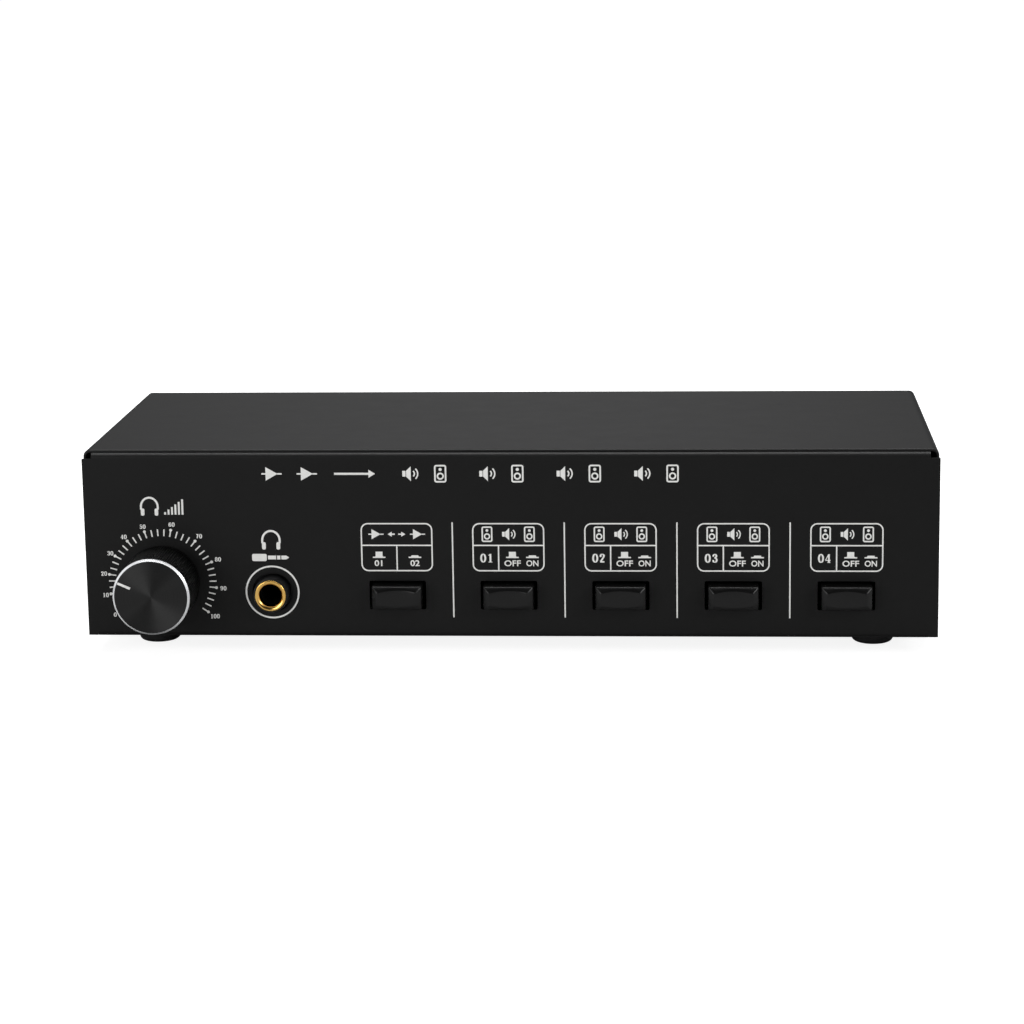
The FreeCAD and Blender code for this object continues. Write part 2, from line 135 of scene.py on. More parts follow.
# darkest and lightest colour, least and most roughness; mottle, grain and relief in mm
finishLooks = {
    # epoxy powder baked on steel: satin black with a fine orange-peel grain
    "powderCoatSatinBlack": {
        "colours": ("#141414", "#161616"), "roughness": (0.45, 0.48),
        "mottle": 9.0, "grain": 0.45, "relief": 0.012, "specular": 0.14,
    },
    # zinc plate with black passivate: dark, slightly greasy metal sheen
    "zincPlateBlack": {
        "colours": ("#1a1a1c", "#252528"), "roughness": (0.32, 0.46),
        "mottle": 1.6, "grain": 0.3, "relief": 0.004, "metallic": 1.0,
    },
    # bright zinc plate on pressed steel: pale blue-grey metal
    "zincPlateBright": {
        "colours": ("#a9abad", "#bfc1c4"), "roughness": (0.28, 0.42),
        "mottle": 1.8, "grain": 0.3, "relief": 0.004, "metallic": 1.0,
    },
    # nickel plate: warm white metal with a soft shine
    "nickelPlate": {
        "colours": ("#b9b4a8", "#cac6bb"), "roughness": (0.2, 0.32),
        "mottle": 2.0, "grain": 0.25, "relief": 0.003, "metallic": 1.0,
    },
    # tin plate on pressed steel: dull grey, drawn lines along the can
    "tinPlate": {
        "colours": ("#9b9c9c", "#b1b2b1"), "roughness": (0.36, 0.5),
        "mottle": 2.4, "grain": 0.2, "relief": 0.004, "metallic": 1.0, "stretch": (1, 0.15, 1),
    },
    # moulded nitrile rubber: dull near-black with a faint bloom
    "nitrileRubber": {
        "colours": ("#121213", "#1c1c1d"), "roughness": (0.6, 0.78),
        "mottle": 3.0, "grain": 0.5, "relief": 0.02,
    },
    # woven glass and epoxy under green solder resist: glossy, with the weave just showing
    "glassEpoxyBoard": {
        "colours": ("#0d3a1f", "#14502c"), "roughness": (0.22, 0.36),
        "mottle": 6.0, "grain": 0.6, "relief": 0.01,
    },
    # glass-filled nylon, moulded: matt black with pale flecks
    "nylonGlassFilled": {
        "colours": ("#151515", "#1f1f20"), "roughness": (0.5, 0.68),
        "mottle": 0.8, "grain": 0.3, "relief": 0.012,
    },
    # natural acetal, moulded: milky white, waxy
    "acetalNatural": {
        "colours": ("#d9d8d2", "#e6e5df"), "roughness": (0.3, 0.42),
        "mottle": 4.0, "grain": 0.6, "relief": 0.006, "subsurface": 0.08,
    },
    # ABS from a spark-eroded mould: black with a soft sheen
    "absMouldedBlack": {
        "colours": ("#0c0c0d", "#111112"), "roughness": (0.4, 0.5),
        "mottle": 3.0, "grain": 0.35, "relief": 0.008, "specular": 0.25,
    },
    # ABS from a polished mould: glossy black, with slow ripples from shrinkage
    "absPolishedBlack": {
        "colours": ("#0d0d0d", "#111111"), "roughness": (0.16, 0.24),
        "mottle": 5.0, "grain": 2.6, "relief": 0.01, "specular": 0.26,
    },
    # polycarbonate screw caps, polished mould: deep glossy black
    "polycarbonateBlack": {
        "colours": ("#0d0d0e", "#121213"), "roughness": (0.14, 0.24),
        "mottle": 4.0, "grain": 1.8, "relief": 0.008, "ior": 1.58,
    },
    # the same moulding in signal red
    "polycarbonateRed": {
        "colours": ("#a30f12", "#b81518"), "roughness": (0.14, 0.24),
        "mottle": 4.0, "grain": 1.8, "relief": 0.008, "ior": 1.58, "subsurface": 0.05,
    },
    # gold plate over turned brass: pale warm mirror
    "goldPlate": {
        "colours": ("#e6b457", "#f0c678"), "roughness": (0.12, 0.17),
        "mottle": 2.5, "grain": 0.5, "relief": 0.0005, "metallic": 1.0,
    },
    # screen-printed epoxy ink: off-white, a little uneven in cover
    "screenInkWhite": {
        "colours": ("#e2e2df", "#f0f0ed"), "roughness": (0.42, 0.55),
        "mottle": 1.2, "grain": 0.2, "relief": 0.004,
    },
    # enamel wiped into the milled line: clean white, smoother than the print
    "enamelWhite": {
        "colours": ("#e6e6e4", "#f1f1ef"), "roughness": (0.26, 0.36),
        "mottle": 1.0, "grain": 0.4, "relief": 0.004,
    },
    # diamond-cut aluminium: bright mirror cut with hairline turning marks
    "aluminiumDiamondCut": {
        "colours": ("#eceef0", "#f6f7f8"), "roughness": (0.2, 0.25),
        "mottle": 3.0, "grain": 0.5, "relief": 0.0005, "metallic": 1.0,
    },
    # aluminium, rolled to a straight knurl and then anodised black: dark, soft streaks
    "anodisedKnurlBlack": {
        "colours": ("#0f0f0f", "#141414"), "roughness": (0.36, 0.42),
        "mottle": 2.0, "grain": 0.5, "relief": 0.0005, "metallic": 1.0, "stretch": (1, 0.2, 1),
    },
}
finish = {name: grainedFinish(name, look) for name, look in finishLooks.items()}

# black anodised aluminium, spun on the face: fine rings that pull highlights into a fan
spunLook = {
    "colours": ("#2d2d2d", "#353535"),
    "ringPitch": 0.3,  # drawn about three times as coarse as the real tool marks
    "ringRelief": 0.0012,
    "ringDetail": 3.0,
    "roughness": (0.3, 0.36),
    "anisotropy": 0.92,
}


def spunFinish(name, look, axis):
    material, tree = newMaterial(name)
    where = addNode(tree, "ShaderNodeTexCoord").outputs["Object"]
    hub = {0: where, 1: (axis.x * mm, 0, axis.z * mm)}
    where = addNode(tree, "ShaderNodeVectorMath", {"operation": "SUBTRACT"}, hub).outputs[0]
    flat = {0: where, 1: (1, 0, 1)}
    radial = addNode(tree, "ShaderNodeVectorMath", {"operation": "MULTIPLY"}, flat).outputs[0]
    radius = addNode(tree, "ShaderNodeVectorMath", {"operation": "LENGTH"}, {0: radial})
    spacing = {"W": radius.outputs["Value"], "Scale": 1 / (look["ringPitch"] * mm)}
    spacing["Detail"] = look["ringDetail"]
    rings = addNode(tree, "ShaderNodeTexNoise", {"noise_dimensions": "1D"}, spacing).outputs[0]
    toWorld = {"vector_type": "VECTOR", "convert_from": "OBJECT", "convert_to": "WORLD"}
    tangent = addNode(tree, "ShaderNodeVectorTransform", toWorld, {0: radial})
    dark, light = (linear(colour) for colour in look["colours"])
    colour = addNode(tree, "ShaderNodeMix", {"data_type": "RGBA"}, {0: rings, 6: dark, 7: light})
    smooth, rough = look["roughness"]
    gloss = addNode(tree, "ShaderNodeMapRange", inputs={0: rings, 3: smooth, 4: rough})
    relief = {"Distance": look["ringRelief"] * mm, "Height": rings}
    surface = {
        "Base Color": colour.outputs[2],
        "Metallic": 1.0,
        "Roughness": gloss.outputs[0],
        "Anisotropic": look["anisotropy"],
        "Tangent": tangent.outputs[0],
        "Normal": addNode(tree, "ShaderNodeBump", inputs=relief).outputs[0],
    }
    shader = addNode(tree, "ShaderNodeBsdfPrincipled", inputs=surface)
    addNode(tree, "ShaderNodeOutputMaterial", inputs={"Surface": shader.outputs[0]})
    return material


finish["anodisedSpunBlack"] = spunFinish("anodisedSpunBlack", spunLook, knobAxis)
print("finishes:", len(finish))


def place(x, z, rear=False):
    # from a piece's own axes to the box's front or rear wall
    side = -1 if rear else 1
    wall = rearFace if rear else frontFace
    return Matrix(((side, 0, 0, x), (0, 0, -side, wall), (0, 1, 0, z), (0, 0, 0, 1)))


def meshFrom(bm, name):
    bmesh.ops.recalc_face_normals(bm, faces=bm.faces)
    mesh = bpy.data.meshes.new(name)
    bm.to_mesh(mesh)
    bm.free()
    return mesh


def newObject(name, data):
    piece = bpy.data.objects.new(name, data)
    bpy.context.scene.collection.objects.link(piece)
    return piece


past = 1.0  # mm that a cutter reaches past the face that it opens


def plainMesh(piece):
    # what the piece and its modifiers, or its text, come to as one plain mesh
    bpy.context.view_layer.update()
    graph = bpy.context.evaluated_depsgraph_get()
    return bpy.data.meshes.new_from_object(piece.evaluated_get(graph), depsgraph=graph)


def settle(piece):
    mesh = plainMesh(piece)
    piece.modifiers.clear()
    piece.data = mesh


def runTree(piece, tree, values):
    modifier = piece.modifiers.new(tree.name, "NODES")
    modifier.node_group = tree
    for socket in tree.interface.items_tree:
        if socket.in_out == "INPUT" and socket.name in values:
            modifier[socket.identifier] = values[socket.name]
    settle(piece)


def softenEdges(piece, width, segments=2, weighted=False):
    bevel = piece.modifiers.new("edges", "BEVEL")
    bevel.width = width
    bevel.segments = segments
    bevel.limit_method = "WEIGHT" if weighted else "ANGLE"
    settle(piece)


def cutAway(piece, cutter):
    # takes the cutter's shape out of the piece
    cut = piece.modifiers.new("cut", "BOOLEAN")
    cut.operation = "DIFFERENCE"
    cut.solver = "EXACT"
    cut.object = cutter
    settle(piece)
    bpy.data.objects.remove(cutter)


def joinMeshes(name, pieces):
    bm = bmesh.new()
    for piece in pieces:
        bm.from_mesh(piece.data)
        bpy.data.objects.remove(piece)
    mesh = bpy.data.meshes.new(name)
    bm.to_mesh(mesh)
    bm.free()
    return newObject(name, mesh)


def finishPiece(piece, matrix, material, body, nodes=(), smoothAngle=35):
    # puts the piece in its place, in metres, and hands it to its body
    mesh = piece.data
    mesh.transform(Matrix.Scale(mm, 4) @ matrix)
    mesh.materials.clear()
    mesh.materials.append(finish[material])
    mesh.shade_smooth()
    mesh.set_sharp_from_angle(angle=math.radians(smoothAngle))
    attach(piece, body)
    if nodes:
        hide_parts(*nodes)


def arcPoints(x, y, radii, first, last, steps):
    # points along an arc, from one angle to another in degrees
    rx, ry = radii if isinstance(radii, tuple) else (radii, radii)
    angles = [math.radians(first + (last - first) * i / steps) for i in range(steps + 1)]
    return [(x + rx * math.cos(a), y + ry * math.sin(a)) for a in angles]


def turned(name, profile, segments=96):
    # A lathe-turned shape: (radius, height) corners swept about local Z. A profile that ends on
    # its first corner is a ring; radius 0 closes the shape on the axis.
    bm = bmesh.new()
    rings = []
    for radius, height in profile:
        if rings and (radius, height) == profile[0]:
            rings.append(rings[0])
            continue
        turns = [2 * math.pi * i / segments for i in range(segments if radius else 1)]
        ring = [(radius * math.cos(t), radius * math.sin(t), height) for t in turns]
        rings.append([bm.verts.new(point) for point in ring])
    for lower, upper in zip(rings, rings[1:]):
        for i in range(segments):
            j = (i + 1) % segments
            corners = [lower[i % len(lower)], lower[j % len(lower)]]
            corners += [upper[j % len(upper)], upper[i % len(upper)]]
            bm.faces.new(list(dict.fromkeys(corners)))
    return newObject(name, meshFrom(bm, name))


def blockOf(name, low, high):
    # a plain box between two corners
    bm = bmesh.new()
    bmesh.ops.create_cube(bm, size=1)
    for v in bm.verts:
        v.co = [a + (b - a) * (c + 0.5) for a, b, c in zip(low, high, v.co)]
    return newObject(name, meshFrom(bm, name))


def newTree(name, sizes):
    tree = bpy.data.node_groups.new(name, "GeometryNodeTree")
    tree.interface.new_socket(name="Geometry", in_out="OUTPUT", socket_type="NodeSocketGeometry")
    for label, kind in {**sizes, "Material": "Material"}.items():
        tree.interface.new_socket(name=label, in_out="INPUT", socket_type="NodeSocket" + kind)
    return tree, addNode(tree, "NodeGroupInput").outputs


def closeTree(tree, geometry, given):
    real = addNode(tree, "GeometryNodeRealizeInstances", inputs={0: geometry}).outputs[0]
    coat = {"Geometry": real, "Material": given["Material"]}
    coated = addNode(tree, "GeometryNodeSetMaterial", inputs=coat)
    addNode(tree, "NodeGroupOutput", inputs={0: coated.outputs[0]})
    return tree


def rowTree():
    # copies of a piece in a straight row
    tree, given = newTree("row", {"Geometry": "Geometry", "Count": "Int", "Step": "Vector"})
    spacing = {"Count": given["Count"], "Offset": given["Step"]}
    line = addNode(tree, "GeometryNodeMeshLine", inputs=spacing).outputs[0]
    spots = {"Points": line, "Instance": given["Geometry"]}
    copies = addNode(tree, "GeometryNodeInstanceOnPoints", inputs=spots)
    return closeTree(tree, copies.outputs[0], given)


def arcTree():
    # copies of a mark along an arc about the origin, its X turned outwards
    sizes = {"Radius": "Float", "First Angle": "Float", "Sweep": "Float"}
    tree, given = newTree("arc", {"Geometry": "Geometry", "Count": "Int", **sizes})
    sweep = {"Resolution": given["Count"], "Radius": given["Radius"]}
    sweep.update({"Start Angle": given["First Angle"], "Sweep Angle": given["Sweep"]})
    arc = addNode(tree, "GeometryNodeCurveArc", inputs=sweep)
    outward = addNode(tree, "GeometryNodeInputPosition").outputs[0]
    turn = addNode(
        tree,
        "FunctionNodeAlignRotationToVector",
        {"axis": "X", "pivot_axis": "Z"},
        {"Vector": outward},
    )
    spots = {"Points": arc.outputs[0], "Instance": given["Geometry"], "Rotation": turn.outputs[0]}
    copies = addNode(tree, "GeometryNodeInstanceOnPoints", inputs=spots)
    return closeTree(tree, copies.outputs[0], given)


def ribbedTree():
    # a ribbed grip along Z: a star with softened points, swept up a spine that narrows at its ends
    sizes = {"Radius": "Float", "Rib Depth": "Float", "Rib Round": "Float"}
    sizes.update({"Length": "Float", "Bevel": "Float"})
    tree, given = newTree("ribbedGrip", {"Ribs": "Int", "Round Steps": "Int", **sizes})
    radius, bevel, length = given["Radius"], given["Bevel"], given["Length"]
    less = {"operation": "SUBTRACT"}
    valley = addNode(tree, "ShaderNodeMath", less, {0: radius, 1: given["Rib Depth"]}).outputs[0]
    points = {"Points": given["Ribs"], "Inner Radius": valley, "Outer Radius": radius}
    star = addNode(tree, "GeometryNodeCurveStar", inputs=points).outputs[0]
    rounding = {"Curve": star, "Count": given["Round Steps"], "Radius": given["Rib Round"]}
    rounding["Limit Radius"] = True
    ribs = addNode(tree, "GeometryNodeFilletCurve", {"mode": "POLY"}, rounding).outputs[0]

    shoulder = addNode(tree, "ShaderNodeMath", less, {0: length, 1: bevel}).outputs[0]
    inset = addNode(tree, "ShaderNodeMath", {"operation": "DIVIDE"}, {0: bevel, 1: radius})
    narrow = addNode(tree, "ShaderNodeMath", less, {0: 1.0, 1: inset.outputs[0]}).outputs[0]
    index = addNode(tree, "GeometryNodeInputIndex").outputs[0]
    steps = []
    for values in ((0.0, bevel, shoulder, length), (narrow, 1.0, 1.0, narrow)):
        switch = addNode(tree, "GeometryNodeIndexSwitch", {"data_type": "FLOAT"}, {"Index": index})
        while len(switch.index_switch_items) < len(values):
            switch.index_switch_items.new()
        feed(tree, switch, {i + 1: value for i, value in enumerate(values)})
        steps.append(switch.outputs[0])
    line = addNode(tree, "GeometryNodeCurvePrimitiveLine").outputs[0]
    line = addNode(tree, "GeometryNodeResampleCurve", inputs={"Curve": line, "Count": 4}).outputs[0]
    height = addNode(tree, "ShaderNodeCombineXYZ", inputs={2: steps[0]}).outputs[0]
    spine = {"Geometry": line, "Position": height}
    spine = addNode(tree, "GeometryNodeSetPosition", inputs=spine).outputs[0]
    spine = {"Curve": spine, "Radius": steps[1]}
    spine = addNode(tree, "GeometryNodeSetCurveRadius", inputs=spine).outputs[0]
    sweep = {"Curve": spine, "Profile Curve": ribs, "Fill Caps": True}
    grip = addNode(tree, "GeometryNodeCurveToMesh", inputs=sweep)
    return closeTree(tree, grip.outputs[0], given)


row = rowTree()
arc = arcTree()
ribbedGrip = ribbedTree()
print("node trees built")

# knurled grip, spun head, diamond-cut rim, enamelled pointer line
knobLook = {
    "radius": 11.25,
    "back": 1.5,
    "face": 18.5,
    "rim": 0.9,
    "chamfer": 0.58,
    "chamferCorner": (0.1, 0.06, 0.04),  # inwards, up and down from the chamfer's outer corner
    "ribs": 100,
    "ribDepth": 0.13,
    "ribRound": 0.05,
    "backBevel": 0.4,
    "recess": (6.8, 4.5),
    "bore": (3.02, 15.3),
    "pointerAngle": 156.6,
    "pointer": (4.1, 0.8, 0.3),
    "pointerGap": 0.1,
    "pointerFit": 0.01,
    "pointerSunk": 0.06,
    "screwHole": 1.52,
    "screwReach": 14.0,
    "seam": 0.02,
    "pointerEdge": 0.05,
}


def makeKnob(look):
    radius, face, back = look["radius"], look["face"], look["back"]
    spot = place(knobAxis.x, knobAxis.z)
    under = face - look["rim"] - look["seam"]
    grip = newObject("knobGrip", bpy.data.meshes.new("knobGrip"))
    sizes = {"Radius": radius, "Rib Depth": look["ribDepth"], "Rib Round": look["ribRound"]}
    sizes.update({"Ribs": look["ribs"], "Round Steps": 1, "Bevel": look["backBevel"]})
    sizes.update({"Length": face - look["rim"] - back, "Material": finish["anodisedKnurlBlack"]})
    runTree(grip, ribbedGrip, sizes)
    grip.data.transform(Matrix.Translation((0, 0, back)))
    recess, recessEnd = look["recess"]
    bore, boreEnd = look["bore"]
    hollow = [(0, 0), (recess, 0), (recess, recessEnd), (bore, recessEnd), (bore, boreEnd)]
    cutAway(grip, turned("knobHollow", hollow + [(0, boreEnd)], segments=64))
    hole, reach = look["screwHole"], look["screwReach"]
    drill = turned("knobDrill", [(0, 0), (hole, 0), (hole, reach), (0, reach)], segments=32)
    screwAngle = math.radians(look["pointerAngle"] + 90)
    outward = Vector((math.cos(screwAngle), math.sin(screwAngle), 0))
    turnOut = outward.to_track_quat("Z", "Y").to_matrix().to_4x4()
    drill.data.transform(Matrix.Translation((0, 0, (face + back) / 2)) @ turnOut)
    cutAway(grip, drill)
    body, slot = "volume_control", "anodised_knob"
    finishPiece(grip, spot, "anodisedKnurlBlack", body, ["volume_knob"], smoothAngle=12)

    edge, rimIn = face - look["chamfer"], radius - look["chamfer"]
    profile = [(0, face), (rimIn, face), (rimIn, under), (0, under)]
    head = turned("knobHead", profile, segments=160)
    length, width, depth = look["pointer"]
    tip = rimIn - look["pointerGap"]
    low, high = (tip - length, -width / 2, face - depth), (tip, width / 2, face + past)
    groove = blockOf("pointerGroove", low, high)
    aim = Matrix.Rotation(math.radians(look["pointerAngle"]), 4, "Z")
    groove.data.transform(aim)
    cutAway(head, groove)
    finishPiece(head, spot, "anodisedSpunBlack", body)

    inwards, up, down = look["chamferCorner"]
    profile = [(rimIn, face), (radius - inwards, edge + up), (radius, edge - down)]
    profile += [(radius, under), (rimIn, under), (rimIn, face)]
    rim = turned("knobRim", profile, segments=160)
    finishPiece(rim, spot, "aluminiumDiamondCut", body, smoothAngle=25)

    fit = look["pointerFit"]
    low = (tip - length + fit, fit - width / 2, face - depth - look["seam"])
    line = blockOf("knobPointer", low, (tip - fit, width / 2 - fit, face - look["pointerSunk"]))
    line.data.transform(aim)
    softenEdges(line, look["pointerEdge"])
    finishPiece(line, spot, "enamelWhite", body)


makeKnob(knobLook)
print("knob made")

# moulded barrel and body, gilt ring in its mouth
jackLook = {
    "bodyFront": -2.0,
    "bodyEdge": 0.4,
    "barrel": 5.15,
    "barrelEnd": 4.2,
    "barrelRound": 0.4,
    "seat": (4.61, 1.7),
    "bore": 3.2,
    "boreEnds": (-26.3, 9.0),
    "overlap": 0.5,
    "ringRadius": 4.6,
    "ringEnd": 4.7,
    "ringBack": 1.7,
    "lip": 0.22,
    "flare": 1.15,  # the ring's mouth flares out to its lip
    "flareDepth": 0.9,
    "cornerCut": 0.3,  # a rounded corner's middle, as a share of its radius
}


def makeJack(look):
    axis = middleOf("jack_ring")
    spot = place(axis.x, axis.z)
    low, high = boxOf("jack_body")
    half, bodyFront = (high.x - low.x) / 2, look["bodyFront"]
    corner = (half, high.z - axis.z, bodyFront)
    body = blockOf("jackBlock", (-half, low.z - axis.z, frontFace - high.y), corner)
    softenEdges(body, look["bodyEdge"])
    bore, (deep, front) = look["bore"], look["boreEnds"]
    hole = [(0, deep), (bore, deep), (bore, front), (0, front)]
    cutAway(body, turned("jackBore", hole, segments=64))
    (seat, seatEnd), root = look["seat"], bodyFront - look["overlap"]
    outer, end, soft = look["barrel"], look["barrelEnd"], look["barrelRound"]
    cut = look["cornerCut"] * soft
    profile = [(outer, root), (outer, end - soft), (outer - cut, end - cut)]
    profile += [(outer - soft, end), (seat, end), (seat, seatEnd), (bore, seatEnd)]
    profile += [(bore, root), (outer, root)]
    both = joinMeshes("jackBody", [body, turned("jackBarrel", profile)])
    finishPiece(both, spot, "absMouldedBlack", "housing", ["jack_body"])

    rim, mouth, back = look["ringRadius"], look["ringEnd"], look["ringBack"]
    flare, lip, depth = look["flare"], look["lip"], look["flareDepth"]
    cut = look["cornerCut"] * lip
    profile = [(rim, back), (rim, mouth - lip), (rim - cut, mouth - cut)]
    profile += arcPoints(rim - lip, mouth - depth, (flare, depth), 90, 180, steps=9)
    ring = turned("jackRing", profile + [(bore, back), (rim, back)], segments=128)
    finishPiece(ring, spot, "goldPlate", "housing", ["jack_ring"], smoothAngle=60)


makeJack(jackLook)
print("jack made")

# bevelled caps whose face is dished from side to side
buttonLook = {
    "width": 14.7,
    "height": 7.0,
    "reach": 5.0,
    "bevelDepth": 1.4,
    "sideBevel": 1.65,
    "edgeBevel": 1.6,
    "dish": 0.6,
    "tail": 4.5,
    "wall": 1.2,
    "roof": 2.5,
    "hub": 5.6,
    "hubOverlap": 0.2,
    "outerEdge": 0.33,
    "faceEdge": 0.3,
    "edgeSteps": 3,
    "columns": 14,
    "smoothAngle": 28,
}


def makeButton(number, look):
    halfWidth, halfHeight = look["width"] / 2, look["height"] / 2
    face, shoulder, tail = look["reach"], look["reach"] - look["bevelDepth"], -look["tail"]
    roof, columns = face - look["roof"], look["columns"]
    faceHalf = halfWidth - look["sideBevel"]
    dishRadius = (faceHalf**2 + look["dish"] ** 2) / (2 * look["dish"])
    bm = bmesh.new()
    faceRows = {-1: [], 1: []}
    skirtRows = {-1: [], 1: []}
    for i in range(columns + 1):
        share = 2 * i / columns - 1
        x = faceHalf * share
        depth = math.sqrt(dishRadius**2 - x**2) - (dishRadius - look["dish"])
        edge = halfHeight - look["edgeBevel"] * (1 - depth / look["bevelDepth"])
        for side in (-1, 1):
            faceRows[side].append(bm.verts.new((x, side * edge, face - depth)))
            foot = (share * halfWidth, side * halfHeight, shoulder)
            skirtRows[side].append(bm.verts.new(foot))
    low, high = faceRows[-1], faceRows[1]
    for i in range(columns):
        bm.faces.new((low[i], low[i + 1], high[i + 1], high[i]))
        for side in (-1, 1):
            skirt, rim = skirtRows[side], faceRows[side]
            bm.faces.new((skirt[i], skirt[i + 1], rim[i + 1], rim[i]))
    for end in (0, -1):
        bm.faces.new((low[end], high[end], skirtRows[1][end], skirtRows[-1][end]))
    outline = skirtRows[-1] + skirtRows[1][::-1]
    inX, inY = 1 - look["wall"] / halfWidth, 1 - look["wall"] / halfHeight
    backs = [bm.verts.new((v.co.x, v.co.y, tail)) for v in outline]
    lips = [bm.verts.new((v.co.x * inX, v.co.y * inY, tail)) for v in outline]
    roofs = [bm.verts.new((v.co.x, v.co.y, roof)) for v in lips]
    for i in range(len(outline)):
        j = (i + 1) % len(outline)
        for near, far in ((outline, backs), (backs, lips), (lips, roofs)):
            bm.faces.new((near[i], near[j], far[j], far[i]))
    bm.faces.new(roofs)
    faceCorners = {*low, *high}
    weight = bm.edges.layers.float.new("bevel_weight_edge")
    for edge in bm.edges:
        onFace = faceCorners.issuperset(edge.verts)
        edge[weight] = look["faceEdge"] / look["outerEdge"] if onFace else 1.0
    shell = newObject("buttonShell", meshFrom(bm, "buttonShell"))
    softenEdges(shell, look["outerEdge"], look["edgeSteps"], weighted=True)
    hub = look["hub"] / 2
    stem = blockOf("buttonHub", (-hub, -hub, tail), (hub, hub, roof + look["hubOverlap"]))
    piece = joinMeshes(f"buttonCap{number}", [shell, stem])
    node, body = f"button_{number}", f"push_button_{number}"
    spot, slot = middleOf(node), "button_plastic"
    where, angle = place(spot.x, spot.z), look["smoothAngle"]
    finishPiece(piece, where, "absPolishedBlack", body, [node], smoothAngle=angle)


for number in range(1, 6):
    makeButton(number, buttonLook)
print("buttons made")


def fourCorners(piece, width, depth, material):
    # copies at the corners of a rectangle round the origin
    piece.data.transform(Matrix.Translation((-width / 2, -depth / 2, 0)))
    for step in ((width, 0, 0), (0, depth, 0)):
        runTree(piece, row, {"Count": 2, "Step": step, "Material": finish[material]})


footLook = {
    "tip": 6.2,
    "top": 7.0,
    "topEdge": ((0.1, 0.4), (0.2, 0.0)),  # in and down from the top's corner
    "height": 5.0,
    "round": 1.5,
    "recess": (3.6, 2.6),
    "hole": 1.7,
}


def makeFeet(look):
    low, high = boxOf("rubber_feet")
    tip, top, height, radius = look["tip"], look["top"], look["height"], look["round"]
    (recess, recessDepth), hole = look["recess"], look["hole"]
    profile = [(recess, 0), *arcPoints(tip - radius, radius, radius, -90, -10, steps=8)]
    profile += [(top - inwards, height - down) for inwards, down in look["topEdge"]]
    profile += [(hole, height), (hole, recessDepth), (recess, recessDepth), (recess, 0)]
    foot = turned("rubberFeet", profile, segments=64)
    fourCorners(foot, high.x - low.x - 2 * top, high.y - low.y - 2 * top, "nitrileRubber")
    middle = (low + high) / 2
    spot = Matrix.Translation((middle.x, middle.y, 0))
    finishPiece(foot, spot, "nitrileRubber", "housing", ["rubber_feet"], smoothAngle=30)


makeFeet(footLook)

screwLook = {
    "head": 2.75,
    "shank": 1.5,
    "shankTip": 0.3,
    "headWall": 0.35,  # share of the head's height that stands nearly upright
    "headRound": 0.6,  # 1 would give a dome, less gives a flatter pan head
    "headSteps": 6,
    "cross": (3.1, 0.62, 0.9),
    "coverHead": 1.3,
    "coverLength": 5.0,
    "footHead": 1.8,
}


def makeScrew(name, look, height, length):
    # a pan head screw along Z, its head's underside at 0 and a cross recess in its top
    head, shank, tip, wall = (look[k] for k in ("head", "shank", "shankTip", "headWall"))
    profile = [(0, -length), (shank - tip, -length), (shank, tip - length), (shank, 0), (head, 0)]
    for i in range(look["headSteps"]):
        a = math.radians(90 * i / look["headSteps"])
        rise = wall + (1 - wall) * math.sin(a)
        profile.append((head * math.cos(a) ** look["headRound"], height * rise))
    screw = turned(name, profile + [(0, height)], segments=48)
    long, wide, deep = look["cross"]
    for x, y in ((long / 2, wide), (wide, long / 2)):
        cutAway(screw, blockOf("cross", (-x, -y, height - deep), (x, y, height + past)))
    return screw


def makeScrews(look):
    low, high = boxOf("cover_screws")
    height, depth = look["coverHead"], high.y - low.y - 2 * look["head"]
    right = makeScrew("rightScrews", look, height, look["coverLength"])
    right.data.transform(Matrix.Rotation(math.pi / 2, 4, "Y"))
    right.data.transform(Matrix.Translation((high.x - height, -depth / 2, 0)))
    plating = finish["zincPlateBlack"]
    runTree(right, row, {"Count": 2, "Step": (0, depth, 0), "Material": plating})
    left = newObject("leftScrews", right.data.copy())
    left.data.transform(Matrix.Rotation(math.pi, 4, "Z"))
    screws = joinMeshes("coverScrews", [right, left])
    spot = Matrix.Translation((0, (low.y + high.y) / 2, (low.z + high.z) / 2))
    finishPiece(screws, spot, "zincPlateBlack", "housing", ["cover_screws"])

    low, high = boxOf("foot_screws")
    height, across = look["footHead"], 2 * look["head"]
    screws = makeScrew("footScrews", look, height, high.z - low.z - height)
    screws.data.transform(Matrix.Rotation(math.pi, 4, "X"))
    fourCorners(screws, high.x - low.x - across, high.y - low.y - across, "zincPlateBright")
    middle = (low + high) / 2
    spot = Matrix.Translation((middle.x, middle.y, low.z + height))
    finishPiece(screws, spot, "zincPlateBright", "housing", ["foot_screws"])


makeScrews(screwLook)
print("feet and screws made")

# folded sheet cover; the powder rounds its cut edges, and more so outside
coverLook = {
    "sheet": 0.8,
    "bend": 2.0,
    "bendSteps": 10,
    "margin": 0.7,  # plain strips beside bends and edges keep the shading of the flats even
    "cutEdge": 0.55,
    "cutEdgeSteps": 4,
    "cutTurn": 1.0,  # radians; the faces beside a cut edge turn by more, those in a bend by less
    "innerShare": 0.2,
    "screwHole": 1.65,
}


